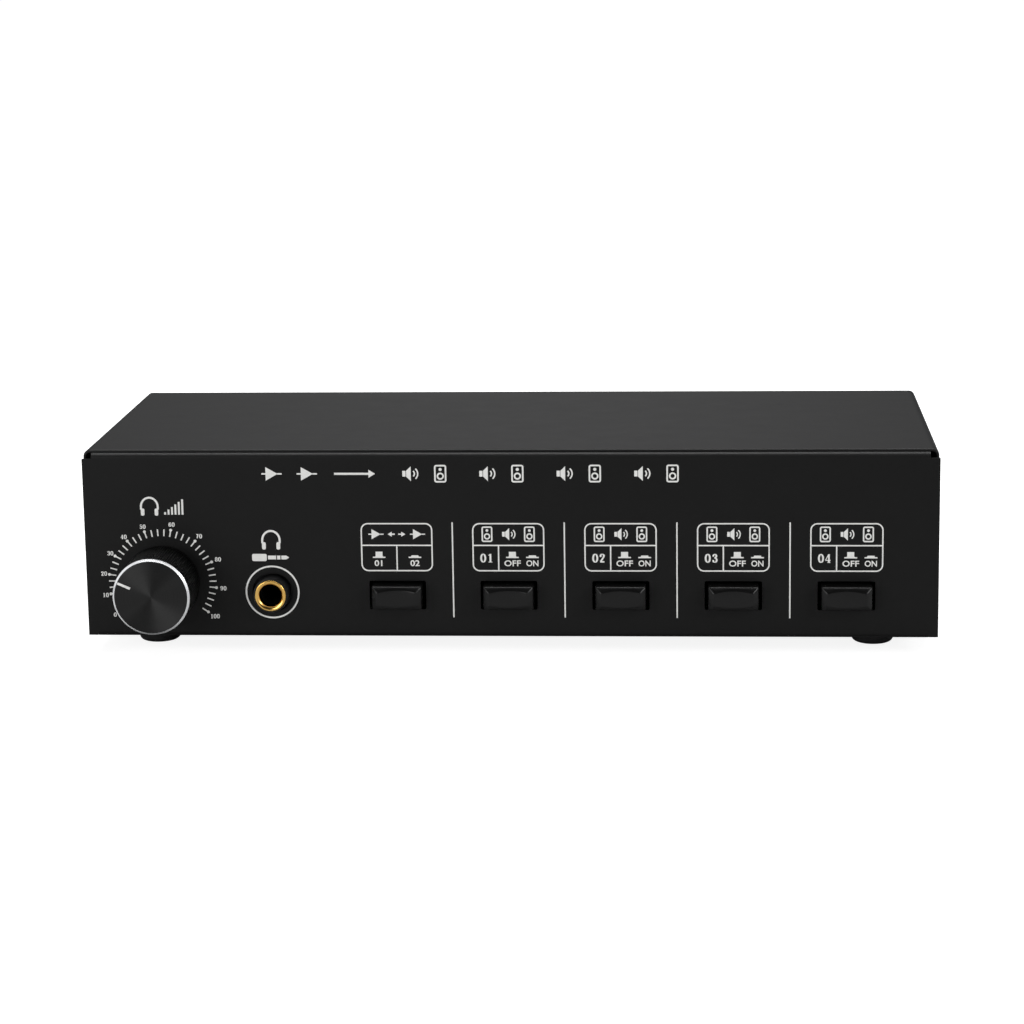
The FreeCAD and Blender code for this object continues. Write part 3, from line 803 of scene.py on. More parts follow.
def makeCover(look):
    low, high = boxOf("top_cover")
    bend, margin, steps = look["bend"], look["margin"], look["bendSteps"]
    bm = bmesh.new()
    skins = []
    for inset in (0, look["sheet"]):
        reach = bend - inset
        corners = []
        for side, middle in ((1, low.x + bend), (-1, high.x - bend)):
            out, bendZ = middle - side * reach, high.z - bend
            half = [(out, low.z), (out, bendZ - margin)]
            half += arcPoints(middle, bendZ, (-side * reach, reach), 0, 90, steps)
            half.append((middle + side * margin, high.z - inset))
            corners += half if side > 0 else half[::-1]
        depths = (low.y, low.y + margin, high.y - margin, high.y)
        skins.append([[bm.verts.new((x, y, z)) for x, z in corners] for y in depths])
    outer, inner = skins
    strips = [pair for skin in skins for pair in zip(skin, skin[1:])]
    strips += [(outer[0], inner[0]), (outer[-1], inner[-1])]
    strips += [[[line[end] for line in skin] for skin in skins] for end in (0, -1)]
    for near, far in strips:
        for i in range(len(near) - 1):
            bm.faces.new((near[i], near[i + 1], far[i + 1], far[i]))
    bmesh.ops.recalc_face_normals(bm, faces=bm.faces)
    outside = {v for line in outer for v in line}
    weight = bm.edges.layers.float.new("bevel_weight_edge")
    for edge in bm.edges:
        if edge.calc_face_angle() > look["cutTurn"]:
            edge[weight] = 1.0 if outside.issuperset(edge.verts) else look["innerShare"]
    cover = newObject("cover", meshFrom(bm, "cover"))
    softenEdges(cover, look["cutEdge"], look["cutEdgeSteps"], weighted=True)
    screwsLow, screwsHigh = boxOf("cover_screws")
    hole, across = look["screwHole"], high.x - low.x
    profile = [(0, -across), (hole, -across), (hole, across), (0, across)]
    for y in (screwsLow.y + screwLook["head"], screwsHigh.y - screwLook["head"]):
        drill = turned("coverDrill", profile, segments=32)
        spot = Matrix.Translation((0, y, (screwsLow.z + screwsHigh.z) / 2))
        drill.data.transform(spot @ Matrix.Rotation(math.pi / 2, 4, "Y"))
        cutAway(cover, drill)
    finishPiece(cover, Matrix(), "powderCoatSatinBlack", "housing", ["top_cover"])


makeCover(coverLook)
print("cover made")

# gilt studs, coloured collars and ribbed screw caps
postLook = {
    "columns": 12,
    "pitch": 19.0,
    "stud": 3.0,
    "studEdge": 0.35,
    "socket": 2.0,
    "studEnd": 18.68,
    "studTail": -6.6,
    "socketDepth": 12.0,
    "socketPoint": 0.8,
    "base": 6.6,
    "baseThickness": 3.0,
    "baseCrown": 1.4,
    "baseBevel": (0.5, 0.12, 0.25),  # across and down, its corner's offset, the land under it
    "baseGap": 0.02,
    "neck": (4.0, 1.0),
    "capStart": 3.3,
    "capEnd": 20.0,
    "capRadius": 6.0,
    "capRibs": 12,
    "capRibDepth": 0.6,
    "capRibRound": 0.9,
    "capRibBevel": 0.35,
    "capRoof": 1.3,
    "capGap": 0.05,
    "capOverlap": 0.4,
    "skirt": 6.3,
    "skirtLength": 2.2,
    "skirtEdges": (0.2, 0.3),
    "capBevel": 0.7,
    "noseCorner": (0.2, 0.21),
    "mouth": 2.4,
    "mouthEdge": 0.4,
    "smoothAngle": 30,
}
postColours = {"black": "polycarbonateBlack", "red": "polycarbonateRed"}


def makePosts(look):
    stud, socket, end, edge = look["stud"], look["socket"], look["studEnd"], look["studEdge"]
    tail, floor = look["studTail"], look["studEnd"] - look["socketDepth"]
    profile = [(0, tail), (stud - edge, tail), (stud, tail + edge), (stud, end - edge)]
    profile += [(stud - edge, end), (socket + edge, end), (socket, end - edge)]
    profile += [(socket, floor), (0, floor - look["socketPoint"])]
    base, thick, (bevel, soft, land) = (look[k] for k in ("base", "baseThickness", "baseBevel"))
    inner, (neck, neckLength) = stud + look["baseGap"], look["neck"]
    flange = [(inner, thick), (base - look["baseCrown"], thick), (base - bevel, thick - soft)]
    flange += [(base - soft, thick - bevel), (base, thick - bevel - land), (base, 0)]
    flange += [(neck, 0), (neck, -neckLength), (inner, -neckLength), (inner, thick)]
    first = look["pitch"] * (look["columns"] - 1) / 2
    copies = {"Count": look["columns"], "Step": (look["pitch"], 0, 0)}
    wall, angle = place(0, 0, rear=True), look["smoothAngle"]
    studs = []
    for colour, material in postColours.items():
        node = f"{colour}_post_bases"
        start = Matrix.Translation((-first, middleOf(node).z, 0))
        studs.append(turned("postStud", profile, segments=40))
        collars = turned(f"{colour}PostCollars", flange, segments=56)
        for piece, coat in ((studs[-1], "goldPlate"), (collars, material)):
            runTree(piece, row, {**copies, "Material": finish[coat]})
            piece.data.transform(start)
        finishPiece(collars, wall, material, "housing", [node], angle)
    both = joinMeshes("postStuds", studs)
    finishPiece(both, wall, "goldPlate", "housing", ["post_studs"], angle)


def capMesh(look):
    # one screw cap: ribbed grip, smooth skirt, rounded nose and a mouth for the plug
    start, end, bevel = look["capStart"], look["capEnd"], look["capBevel"]
    radius, mouth, skirt = look["capRadius"], look["mouth"], look["skirt"]
    skirtEnd, bore = start + look["skirtLength"], look["stud"] + look["capGap"]
    foot, roof, top = skirtEnd - look["capOverlap"], end - look["capRoof"], end + past
    grip = newObject("capGrip", bpy.data.meshes.new("capGrip"))
    sizes = {"Radius": radius, "Rib Depth": look["capRibDepth"], "Rib Round": look["capRibRound"]}
    sizes.update({"Ribs": look["capRibs"], "Round Steps": 4, "Bevel": look["capRibBevel"]})
    sizes.update({"Length": end - bevel - foot, "Material": finish["polycarbonateBlack"]})
    runTree(grip, ribbedGrip, sizes)
    grip.data.transform(Matrix.Translation((0, 0, foot)))
    hole = [(0, 0), (bore, 0), (bore, roof), (mouth, roof), (mouth, top), (0, top)]
    cutAway(grip, turned("capBore", hole, segments=48))
    low, high = look["skirtEdges"]
    lip = [(bore, start), (skirt - low, start), (skirt, start + low), (skirt, skirtEnd - high)]
    lip += [(skirt - high, skirtEnd), (bore, skirtEnd), (bore, start)]
    core, under, edge = radius - look["capRibDepth"], end - 2 * bevel, look["mouthEdge"]
    inwards, down = look["noseCorner"]
    nose = [(mouth, under), (core, under), (core, end - bevel), (core - inwards, end - down)]
    nose += [(core - bevel, end), (mouth + edge, end), (mouth, end - edge), (mouth, under)]
    rings = [turned("capSkirt", lip, segments=72), turned("capNose", nose, segments=72)]
    return joinMeshes("capPattern", [grip, *rings])


def makeCaps(look):
    pattern = capMesh(look)
    for colour, material in postColours.items():
        for column in range(1, look["columns"] + 1):
            node = f"{colour}_cap_{column:02d}"
            spot = middleOf(node)
            cap = newObject(f"{colour}ScrewCap{column:02d}", pattern.data.copy())
            wall, slot = place(spot.x, spot.z, rear=True), f"{colour}_post_plastic"
            finishPiece(cap, wall, material, f"{node}_body", [node], look["smoothAngle"])
    bpy.data.objects.remove(pattern)


makePosts(postLook)
makeCaps(postLook)
print("binding posts made")

# the screen print: every mark is a thin plate of ink on the wall
inkLook = {
    "thickness": 0.03,
    "sunk": 0.01,
    "layer": 0.001,  # marks that cross each other differ in height by whole layers
    "thickPen": 0.2,  # pens of the numerals, as shares of their height
    "thinPen": 0.085,
    "slabPen": 0.16,
    "sharpest": 0.7,  # limits how far a stroke's sharp corner swells
    "capitals": 0.73,  # height of the built-in face's capitals, as a share of its size
    # the first layer of a numeral's parts, each of which adds one more
    "layers": {"strokes": 2, "bars": 4, "slabs": 7, "dots": 8},
}


def inkHeights(layer):
    return -inkLook["sunk"], inkLook["thickness"] + layer * inkLook["layer"]


def inkPrism(bm, outline, layer=0):
    # a filled mark with this outline
    back, front = ([bm.verts.new((x, y, z)) for x, y in outline] for z in inkHeights(layer))
    bm.faces.new(front)
    bm.faces.new(back[::-1])
    for i in range(len(outline)):
        j = (i + 1) % len(outline)
        bm.faces.new((back[i], back[j], front[j], front[i]))


def inkStroke(bm, points, pen, closed=False, layer=0):
    # A stroke along points. The pen is its width, or (across, down) for a broad nib that
    # draws upright lines thick and level ones thin.
    across, down = pen if isinstance(pen, tuple) else (pen, pen)
    count = len(points)
    left, right = [], []
    for i, (x, y) in enumerate(points):
        before = points[i - 1] if closed or i else points[i]
        after = points[(i + 1) % count] if closed or i < count - 1 else points[i]
        dx, dy = after[0] - before[0], after[1] - before[1]
        size = math.hypot(dx, dy)
        nx, ny = -dy / size, dx / size
        half = math.hypot(across * nx, down * ny) / 2
        if 0 < i < count - 1 or closed:
            ax, ay = x - before[0], y - before[1]
            bend = abs(ax * nx + ay * ny) / math.hypot(ax, ay)
            half /= max(math.sqrt(max(1 - bend**2, 0.0)), inkLook["sharpest"])
        left.append((x + nx * half, y + ny * half))
        right.append((x - nx * half, y - ny * half))
    skins = []
    for z in inkHeights(layer):
        skins.append([[bm.verts.new((x, y, z)) for x, y in side] for side in (left, right)])
    (backLeft, backRight), (frontLeft, frontRight) = skins
    for i in range(count if closed else count - 1):
        j = (i + 1) % count
        bm.faces.new((frontLeft[i], frontLeft[j], frontRight[j], frontRight[i]))
        bm.faces.new((backLeft[i], backRight[i], backRight[j], backLeft[j]))
        bm.faces.new((frontLeft[i], backLeft[i], backLeft[j], frontLeft[j]))
        bm.faces.new((frontRight[i], frontRight[j], backRight[j], backRight[i]))
    if not closed:
        for i in (0, count - 1):
            bm.faces.new((frontLeft[i], frontRight[i], backRight[i], backLeft[i]))


def ovalPoints(x, y, radii, steps):
    return arcPoints(x, y, radii, 0, 360, steps)[:-1]


def roundedBox(x, y, width, height, radius, steps=6):
    points = []
    for cx, cy, first in ((1, 1, 0), (-1, 1, 90), (-1, -1, 180), (1, -1, 270)):
        middle = (x + cx * (width / 2 - radius), y + cy * (height / 2 - radius))
        points += arcPoints(*middle, radius, first, first + 90, steps)
    return points


def smoothPath(points, steps=4):
    # a soft curve through the points
    path = []
    ends = [Vector(p) for p in (points[0], *points, points[-1])]
    for a, b, c, d in zip(ends, ends[1:], ends[2:], ends[3:]):
        for i in range(steps):
            t = i / steps
            bend = (2 * a - 5 * b + 4 * c - d) * t**2 + (3 * b - a - 3 * c + d) * t**3
            path.append(b + ((c - a) * t + bend) / 2)
    return [tuple(p) for p in path] + [points[-1]]


# Numerals with thick stems and thin bars, one unit high.
numerals = {
    "0": {"ovals": [(0, 0.5, 0.235, 0.46)]},
    "1": {
        "strokes": [[(0.03, 0.03), (0.03, 0.98)]],
        "bars": [[(-0.18, 0.04), (0.24, 0.04)], [(-0.18, 0.8), (0.02, 0.95)]],
    },
    "2": {
        "strokes": [
            [(-0.2, 0.74), (-0.1, 0.93), (0.06, 0.95), (0.19, 0.83), (0.16, 0.62), (-0.02, 0.34),
             (-0.2, 0.1)]
        ],
        "slabs": [[(-0.22, 0.08), (0.25, 0.08)]],
        "dots": [(-0.17, 0.73)],
    },
    "3": {
        "strokes": [
            [(-0.18, 0.8), (-0.05, 0.94), (0.1, 0.93), (0.18, 0.77), (0.1, 0.6), (-0.06, 0.54)],
            [(-0.06, 0.54), (0.13, 0.49), (0.22, 0.3), (0.13, 0.09), (-0.04, 0.05), (-0.2, 0.17)],
        ],
        "dots": [(-0.16, 0.79), (-0.17, 0.2)],
    },
    "4": {
        "strokes": [[(0.1, 0.03), (0.1, 0.98)]],
        "bars": [
            [(-0.05, 0.04), (0.25, 0.04)],
            [(-0.29, 0.28), (0.29, 0.28)],
            [(0.06, 0.95), (-0.27, 0.3)],
        ],
    },
    "5": {
        "strokes": [
            [(-0.17, 0.5), (0.0, 0.6), (0.17, 0.5), (0.21, 0.3), (0.12, 0.09), (-0.04, 0.05),
             (-0.2, 0.17)]
        ],
        "bars": [[(-0.17, 0.5), (-0.15, 0.95)]],
        "slabs": [[(-0.15, 0.91), (0.2, 0.91)]],
        "dots": [(-0.17, 0.2)],
    },
    "6": {
        "strokes": [[(0.18, 0.84), (0.05, 0.94), (-0.11, 0.86), (-0.2, 0.62), (-0.21, 0.32)]],
        "ovals": [(0.01, 0.3, 0.205, 0.25)],
        "dots": [(0.15, 0.83)],
    },
    "7": {
        "strokes": [[(0.2, 0.88), (0.04, 0.52), (-0.04, 0.03)]],
        "slabs": [[(-0.22, 0.91), (0.25, 0.91)]],
    },
    "8": {"ovals": [(0, 0.74, 0.18, 0.215), (0, 0.28, 0.21, 0.24)]},
    "9": {
        "strokes": [[(-0.18, 0.16), (-0.05, 0.06), (0.11, 0.14), (0.2, 0.38), (0.21, 0.68)]],
        "ovals": [(-0.01, 0.7, 0.205, 0.25)],
        "dots": [(-0.15, 0.17)],
    },
}


def inkNumber(bm, text, x, y, height, pitch, weight=1.0):
    # a number centred on x with its middle at y
    pens = ("thickPen", "thinPen", "slabPen")
    thick, thin, slabPen = (inkLook[pen] * height * weight for pen in pens)
    layers = inkLook["layers"]
    for order, digit in enumerate(text):
        cx = x + (order - (len(text) - 1) / 2) * pitch * height
        glyph = numerals[digit]

        def spot(point):
            return (cx + point[0] * height, y + (point[1] - 0.5) * height)

        for ox, oy, rx, ry in glyph.get("ovals", ()):
            oval = ovalPoints(*spot((ox, oy)), (rx * height, ry * height), steps=28)
            inkStroke(bm, oval, (thick, thin), closed=True)
        for k, stroke in enumerate(glyph.get("strokes", ())):
            path = smoothPath([spot(p) for p in stroke])
            inkStroke(bm, path, (thick, thin), layer=layers["strokes"] + k)
        for k, bar in enumerate(glyph.get("bars", ())):
            inkStroke(bm, [spot(p) for p in bar], thin, layer=layers["bars"] + k)
        for slab in glyph.get("slabs", ()):
            inkStroke(bm, [spot(p) for p in slab], slabPen, layer=layers["slabs"])
        for k, dot in enumerate(glyph.get("dots", ())):
            blob = ovalPoints(*spot(dot), thick / 2, steps=12)
            inkPrism(bm, blob, layer=layers["dots"] + k)


def inkWord(bm, text, x, y, height, widen, boldness):
    # a word in the plain built-in face, centred on (x, y)
    letters = bpy.data.curves.new("word", "FONT")
    letters.body = text
    letters.align_x = "CENTER"
    letters.size = height / inkLook["capitals"]
    letters.offset = boldness * height
    letters.extrude = (inkLook["thickness"] + inkLook["sunk"]) / 2
    letters.resolution_u = 3
    holder = newObject("word", letters)
    mesh = plainMesh(holder)
    bpy.data.objects.remove(holder)
    middle = Matrix.Translation((x, y - height / 2, (inkLook["thickness"] - inkLook["sunk"]) / 2))
    mesh.transform(middle @ Matrix.Diagonal((widen, 1, 1, 1)))
    bm.from_mesh(mesh)


# Pictograms, each one size high and built round (x, y). What a mark names for itself is in shares
# of that size, and a box is its middle, width, height and corner radius.


def sizedPoints(x, y, size, points):
    return [(x + across * size, y + up * size) for across, up in points]


def sizedBox(x, y, size, box, steps):
    across, up, width, height, radius = (share * size for share in box)
    return roundedBox(x + across, y + up, width, height, radius, steps)


def levelLines(bm, x, y, size, look):
    for line in look["lines"]:
        inkStroke(bm, [(x + end * size, y) for end in line], look["pen"] * size, layer=1)


# a headband and two ear cups
headphoneLook = {
    "band": (0.46, 0.5),  # half its width, and its height
    "pen": 0.11,
    "stem": 0.16,
    "stemOverlap": 0.01,  # mm
    "cup": (0.38, -0.3, 0.2, 0.4, 0.08),
}


def headphoneMark(bm, x, y, size, look=headphoneLook):
    half, height = (share * size for share in look["band"])
    pen, top, foot = look["pen"] * size, y + look["stemOverlap"], y - look["stem"] * size
    inkStroke(bm, arcPoints(x, y, (half, height), 0, 180, steps=24), pen)
    across, *rest = look["cup"]
    for side in (-1, 1):
        inkStroke(bm, [(x + side * half, top), (x + side * half, foot)], pen, layer=1)
        cup = sizedBox(x, y, size, (side * across, *rest), steps=4)
        inkPrism(bm, cup, layer=2)


# a magnet, its horn and two sound waves
loudspeakerLook = {
    "magnet": (-0.42, 0, 0.2, 0.36, 0.03),
    "horn": [(-0.29, 0.18), (-0.29, -0.18), (0.0, -0.46), (0.0, 0.46)],
    "waves": (0.22, 0.42),
    "spread": 48,  # degrees that the waves reach above and below the level
    "pen": 0.085,
}


def loudspeakerMark(bm, x, y, size, look=loudspeakerLook):
    inkPrism(bm, sizedBox(x, y, size, look["magnet"], steps=2))
    inkPrism(bm, sizedPoints(x, y, size, look["horn"]), layer=1)
    spread = look["spread"]
    for radius in look["waves"]:
        wave = arcPoints(x, y, radius * size, -spread, spread, steps=14)
        inkStroke(bm, wave, look["pen"] * size, layer=2)


# a loudspeaker cabinet from the front, with woofer and tweeter
cabinetLook = {
    "case": (0, 0, 0.6, 0.92, 0.08),
    "woofer": (-0.14, 0.16),  # height above the middle, and radius
    "tweeter": (0.24, 0.09),
    "pen": 0.09,
}


def cabinetMark(bm, x, y, size, look=cabinetLook):
    pen = look["pen"] * size
    low, woofer = (share * size for share in look["woofer"])
    high, tweeter = (share * size for share in look["tweeter"])
    inkStroke(bm, sizedBox(x, y, size, look["case"], steps=3), pen, closed=True)
    inkStroke(bm, ovalPoints(x, y + low, woofer, steps=24), pen, closed=True, layer=1)
    inkPrism(bm, ovalPoints(x, y + high, tweeter, steps=16), layer=1)


# the triangle of a circuit diagram, with its leads
amplifierLook = {
    "triangle": [(-0.38, 0.46), (-0.38, -0.46), (0.42, 0.0)],
    "lines": [(-0.66, -0.36), (0.4, 0.7)],
    "pen": 0.1,
}


def amplifierMark(bm, x, y, size, look=amplifierLook):
    inkPrism(bm, sizedPoints(x, y, size, look["triangle"]))
    levelLines(bm, x, y, size, look)


# a headphone plug lying level: handle, sleeve, ring and tip
plugLook = {
    "handle": (-0.31, 0, 0.38, 0.19, 0.04),
    "lines": [(-0.09, 0.12), (0.145, 0.23)],
    "pen": 0.1,
    "tip": [(0.255, 0.05), (0.255, -0.05), (0.38, -0.05), (0.46, 0.0), (0.38, 0.05)],
}


def plugMark(bm, x, y, size, look=plugLook):
    inkPrism(bm, sizedBox(x, y, size, look["handle"], steps=3))
    levelLines(bm, x, y, size, look)
    inkPrism(bm, sizedPoints(x, y, size, look["tip"]), layer=2)


# a level line with a head at its end
arrowLook = {
    "head": (0.8, 0.5),  # its length, and half its height
    "pen": 0.26,
    "overlap": 0.1,  # how much of the head's length the line reaches into
}


def arrowMark(bm, start, end, y, size, look=arrowLook):
    length, half = (share * size for share in look["head"])
    back = math.copysign(length, end - start)
    neck = end - (1 - look["overlap"]) * back
    inkStroke(bm, [(start, y), (neck, y)], look["pen"] * size)
    inkPrism(bm, [(end - back, y + half), (end - back, y - half), (end, y)], layer=1)


# bars that grow from left to right
levelLook = {"bars": 6, "share": 0.55}  # how much of its pitch a bar fills


def levelMark(bm, x, y, width, height, look=levelLook):
    bars, foot = look["bars"], y - height / 2
    for i in range(bars):
        barX = x + ((i + 0.5) / bars - 0.5) * width
        bar = [(barX, foot), (barX, foot + height * (i + 1) / bars)]
        inkStroke(bm, bar, look["share"] * width / bars)


# a button seen from the side, in mm: its panel, and its cap that stands proud by the rise
pressLook = {
    "panel": (1.85, 0.2, 0.38),  # half its width, its middle's height and its thickness
    "panelTop": 0.39,
    "flange": 1.25,
    "cap": (1.02, 0.6),  # half its width, and where it starts
}


def buttonMark(bm, x, y, rise, look=pressLook):
    (panel, middle, pen), (cap, start), top = look["panel"], look["cap"], look["panelTop"]
    inkStroke(bm, [(x - panel, y + middle), (x + panel, y + middle)], pen)
    half = [(look["flange"], top), (cap, start), (cap, top + rise)]
    outline = [(x + a, y + b) for a, b in half] + [(x - a, y + b) for a, b in reversed(half)]
    inkPrism(bm, outline, layer=1)


def inkPiece(name, bm, rear=False, repeat=None):
    # the marks of one piece, repeated along the wall where they recur
    piece = newObject(name, meshFrom(bm, name))
    if repeat:
        count, pitch = repeat
        values = {"Count": count, "Step": (pitch, 0, 0), "Material": finish["screenInkWhite"]}
        runTree(piece, row, values)
    spot = place(0, underside, rear)
    finishPiece(piece, spot, "screenInkWhite", "housing")


# Dial ticks: every third is numbered up to 50, then every fourth up to 100. Heights on both
# walls are above the box's underside.
dialLook = {
    "centre": (-102.3, 16.47),
    "count": 36,
    "firstAngle": 214.1,
    "sweep": -248.2,
    "tickRadius": 15.0,
    "tick": (2.06, 0.4),
    "dotOut": 1.03,
    "dot": 0.44,
    "lowSteps": 3,
    "highSteps": 4,
    "changeAt": 15,
    "numberStep": 10,
    "numberSizes": (1.3, 0.74, 1.15),  # height, pitch and weight
    "numberRadius": 17.65,
    "numberDrift": 0.45,  # numbers at the right stand a little further out
}


def arcMarks(name, bm, look, first, last, every, radius):
    # a mark on every so many ticks, from one tick to another
    marks = newObject(name, meshFrom(bm, name))
    step = look["sweep"] / (look["count"] - 1)
    values = {"Count": (last - first) // every + 1, "Radius": radius}
    values["First Angle"] = math.radians(look["firstAngle"] + first * step)
    values["Sweep"] = math.radians((last - first) * step)
    runTree(marks, arc, {**values, "Material": finish["screenInkWhite"]})
    return marks


def makeDial(look):
    cx, cy = look["centre"]
    length, width = look["tick"]
    lastTick, change, radius = look["count"] - 1, look["changeAt"], look["tickRadius"]
    bm = bmesh.new()
    inkStroke(bm, [(-length / 2, 0), (length / 2, 0)], width)
    marks = [arcMarks("ticks", bm, look, 0, lastTick, 1, radius)]
    lowDots, highDots = look["lowSteps"], look["highSteps"]
    lowCount, highCount = change // lowDots, (lastTick - change) // highDots
    for first, last, every in ((0, change, lowDots), (change + highDots, lastTick, highDots)):
        bm = bmesh.new()
        inkPrism(bm, ovalPoints(0, 0, look["dot"], steps=20), layer=1)
        marks.append(arcMarks("dots", bm, look, first, last, every, radius + look["dotOut"]))
    ticks = joinMeshes("dialTicks", marks)
    spot = place(cx, underside + cy)
    finishPiece(ticks, spot, "screenInkWhite", "housing")
    bm = bmesh.new()
    for order in range(lowCount + highCount + 1):
        tick = min(order, lowCount) * lowDots + max(order - lowCount, 0) * highDots
        angle = math.radians(look["firstAngle"] + tick * look["sweep"] / lastTick)
        text = str(order * look["numberStep"])
        drift = look["numberDrift"] * max(math.cos(angle), 0) * (len(text) - 1)
        reach = look["numberRadius"] + drift
        x, y = cx + reach * math.cos(angle), cy + reach * math.sin(angle)
        inkNumber(bm, text, x, y, *look["numberSizes"])
    inkPiece("dialNumbers", bm)


makeDial(dialLook)

labelLook = {
    "firstX": -32.6,
    "pitch": 32.75,
    "count": 4,
    "low": 19.9,
    "high": 34.4,
    "width": 21.1,
    "corner": 1.9,
    "line": 0.39,
    "shelf": 27.7,
    "split": -2.9,
    "proud": 1.5,
    "flush": 0.42,
    "iconFoot": 23.9,
    "wordMiddle": 22.4,
    "wordHeight": 1.8,
    "wordBoldness": 0.025,
    "off": (1.15, 1.14),  # place and width
    "on": (7.0, 0.95),
    "inputWord": (1.15, 0.03),  # width and boldness
    "numberAt": -6.4,
    "numberMiddle": 23.9,
    "numberSizes": (2.6, 0.78, 1.05),  # height, pitch and weight
    "markMiddle": 31.05,
    "amplifier": (6.1, 3.3),  # place beside the middle, and size
    "arrow": (0.5, 2.6, 1.5),  # start, end and size
    "speaker": (0.3, 4.0),
    "cabinet": (6.2, 4.6),
    "divider": (-16.2, 6.0, 34.6),
}


def labelFrame(bm, look, x, split):
    low, high, shelf, line = look["low"], look["high"], look["shelf"], look["line"]
    width = look["width"] - line
    outline = roundedBox(x, (low + high) / 2, width, high - low - line, look["corner"])
    inkStroke(bm, outline, line, closed=True)
    inkStroke(bm, [(x - width / 2, shelf), (x + width / 2, shelf)], line, layer=1)
    inkStroke(bm, [(x + split, low + line / 2), (x + split, shelf)], line, layer=2)


def makeLabels(look):
    x, markY, foot = look["firstX"], look["markMiddle"], look["iconFoot"]
    wordY, height, proud, flush = (look[k] for k in ("wordMiddle", "wordHeight", "proud", "flush"))
    (reach, size), (start, end, arrowSize) = look["amplifier"], look["arrow"]
    bm = bmesh.new()
    labelFrame(bm, look, x, 0.0)
    for side, text, rise in ((-1, "01", proud), (1, "02", flush)):
        amplifierMark(bm, x + side * reach, markY, size)
        arrowMark(bm, x + side * start, x + side * end, markY, arrowSize)
        cell = x + side * look["width"] / 4
        buttonMark(bm, cell, foot, rise)
        inkWord(bm, text, cell, wordY, height, *look["inputWord"])
    inkPiece("inputLabel", bm)

    x += look["pitch"]
    repeat = (look["count"], look["pitch"])
    bm = bmesh.new()
    labelFrame(bm, look, x, look["split"])
    (aside, size), (reach, cabinetSize) = look["speaker"], look["cabinet"]
    loudspeakerMark(bm, x + aside, markY, size)
    for side in (-1, 1):
        cabinetMark(bm, x + side * reach, markY, cabinetSize)
    for text, (aside, widen), rise in (("OFF", look["off"], proud), ("ON", look["on"], flush)):
        buttonMark(bm, x + aside, foot, rise)
        inkWord(bm, text, x + aside, wordY, height, widen, look["wordBoldness"])
    inkPiece("outputLabels", bm, repeat=repeat)

    bm = bmesh.new()
    for number in range(look["count"]):
        numberX = x + look["numberAt"] + number * look["pitch"]
        inkNumber(bm, f"0{number + 1}", numberX, look["numberMiddle"], *look["numberSizes"])
    inkPiece("outputNumbers", bm)

    bm = bmesh.new()
    x, low, high = look["divider"]
    inkStroke(bm, [(x, low), (x, high)], look["line"])
    inkPiece("dividers", bm, repeat=repeat)


makeLabels(labelLook)

headingLook = {
    "jackCentre": (-69.7, 13.56),
    "jackCircle": (7.76, 0.5),
    "jackHeadphone": (29.2, 5.6),
    "jackPlug": (24.0, 11.5),
    "dialHeadphone": (-105.4, 39.3, 5.4),
    "dialLevel": (-98.2, 39.2, 6.2, 4.6),
    "rise": 49.1,
    "amplifiers": (-69.0, -58.6),
    "amplifierSize": 4.4,
    "arrow": (-50.5, -38.5),
    "arrowSize": 2.4,
    "speakers": (-28.0, -5.5, 17.0, 39.5),
    "speakerSize": 4.8,
    "cabinetStep": 8.6,
    "cabinetSize": 5.2,
}


def makeHeadings(look):
    bm = bmesh.new()
    x, y = look["jackCentre"]
    radius, line = look["jackCircle"]
    inkStroke(bm, ovalPoints(x, y, radius, steps=96), line, closed=True)
    headphoneMark(bm, x, *look["jackHeadphone"])
    plugMark(bm, x, *look["jackPlug"])
    inkPiece("jackPrint", bm)
    bm = bmesh.new()
    headphoneMark(bm, *look["dialHeadphone"])
    levelMark(bm, *look["dialLevel"])
    inkPiece("dialHeading", bm)
    bm = bmesh.new()
    rise = look["rise"]
    for x in look["amplifiers"]:
        amplifierMark(bm, x, rise, look["amplifierSize"])
    arrowMark(bm, *look["arrow"], rise, look["arrowSize"])
    for x in look["speakers"]:
        loudspeakerMark(bm, x, rise, look["speakerSize"])
        cabinetMark(bm, x + look["cabinetStep"], rise, look["cabinetSize"])
    inkPiece("frontHeading", bm)


makeHeadings(headingLook)

# the rear's groups of four posts: signs and channels beside them, numbers above
rearLook = {
    "pitch": 19.0,
    "groups": 6,
    "inputs": 2,
    "minusRise": 18.0,
    "plusRise": 38.0,
    "sign": (3.0, 0.55),
    "markRise": 50.4,
    "mark": (-2.6, 3.4),  # place beside the group's middle, and size
    "number": (3.0, 2.8, 0.72),  # place, height and pitch
    "channelRise": 8.4,
    "channel": (2.2, 1.0, 0.02),  # height, width and boldness
    "dividers": (5.5, 53.0),
    "line": 0.5,
}


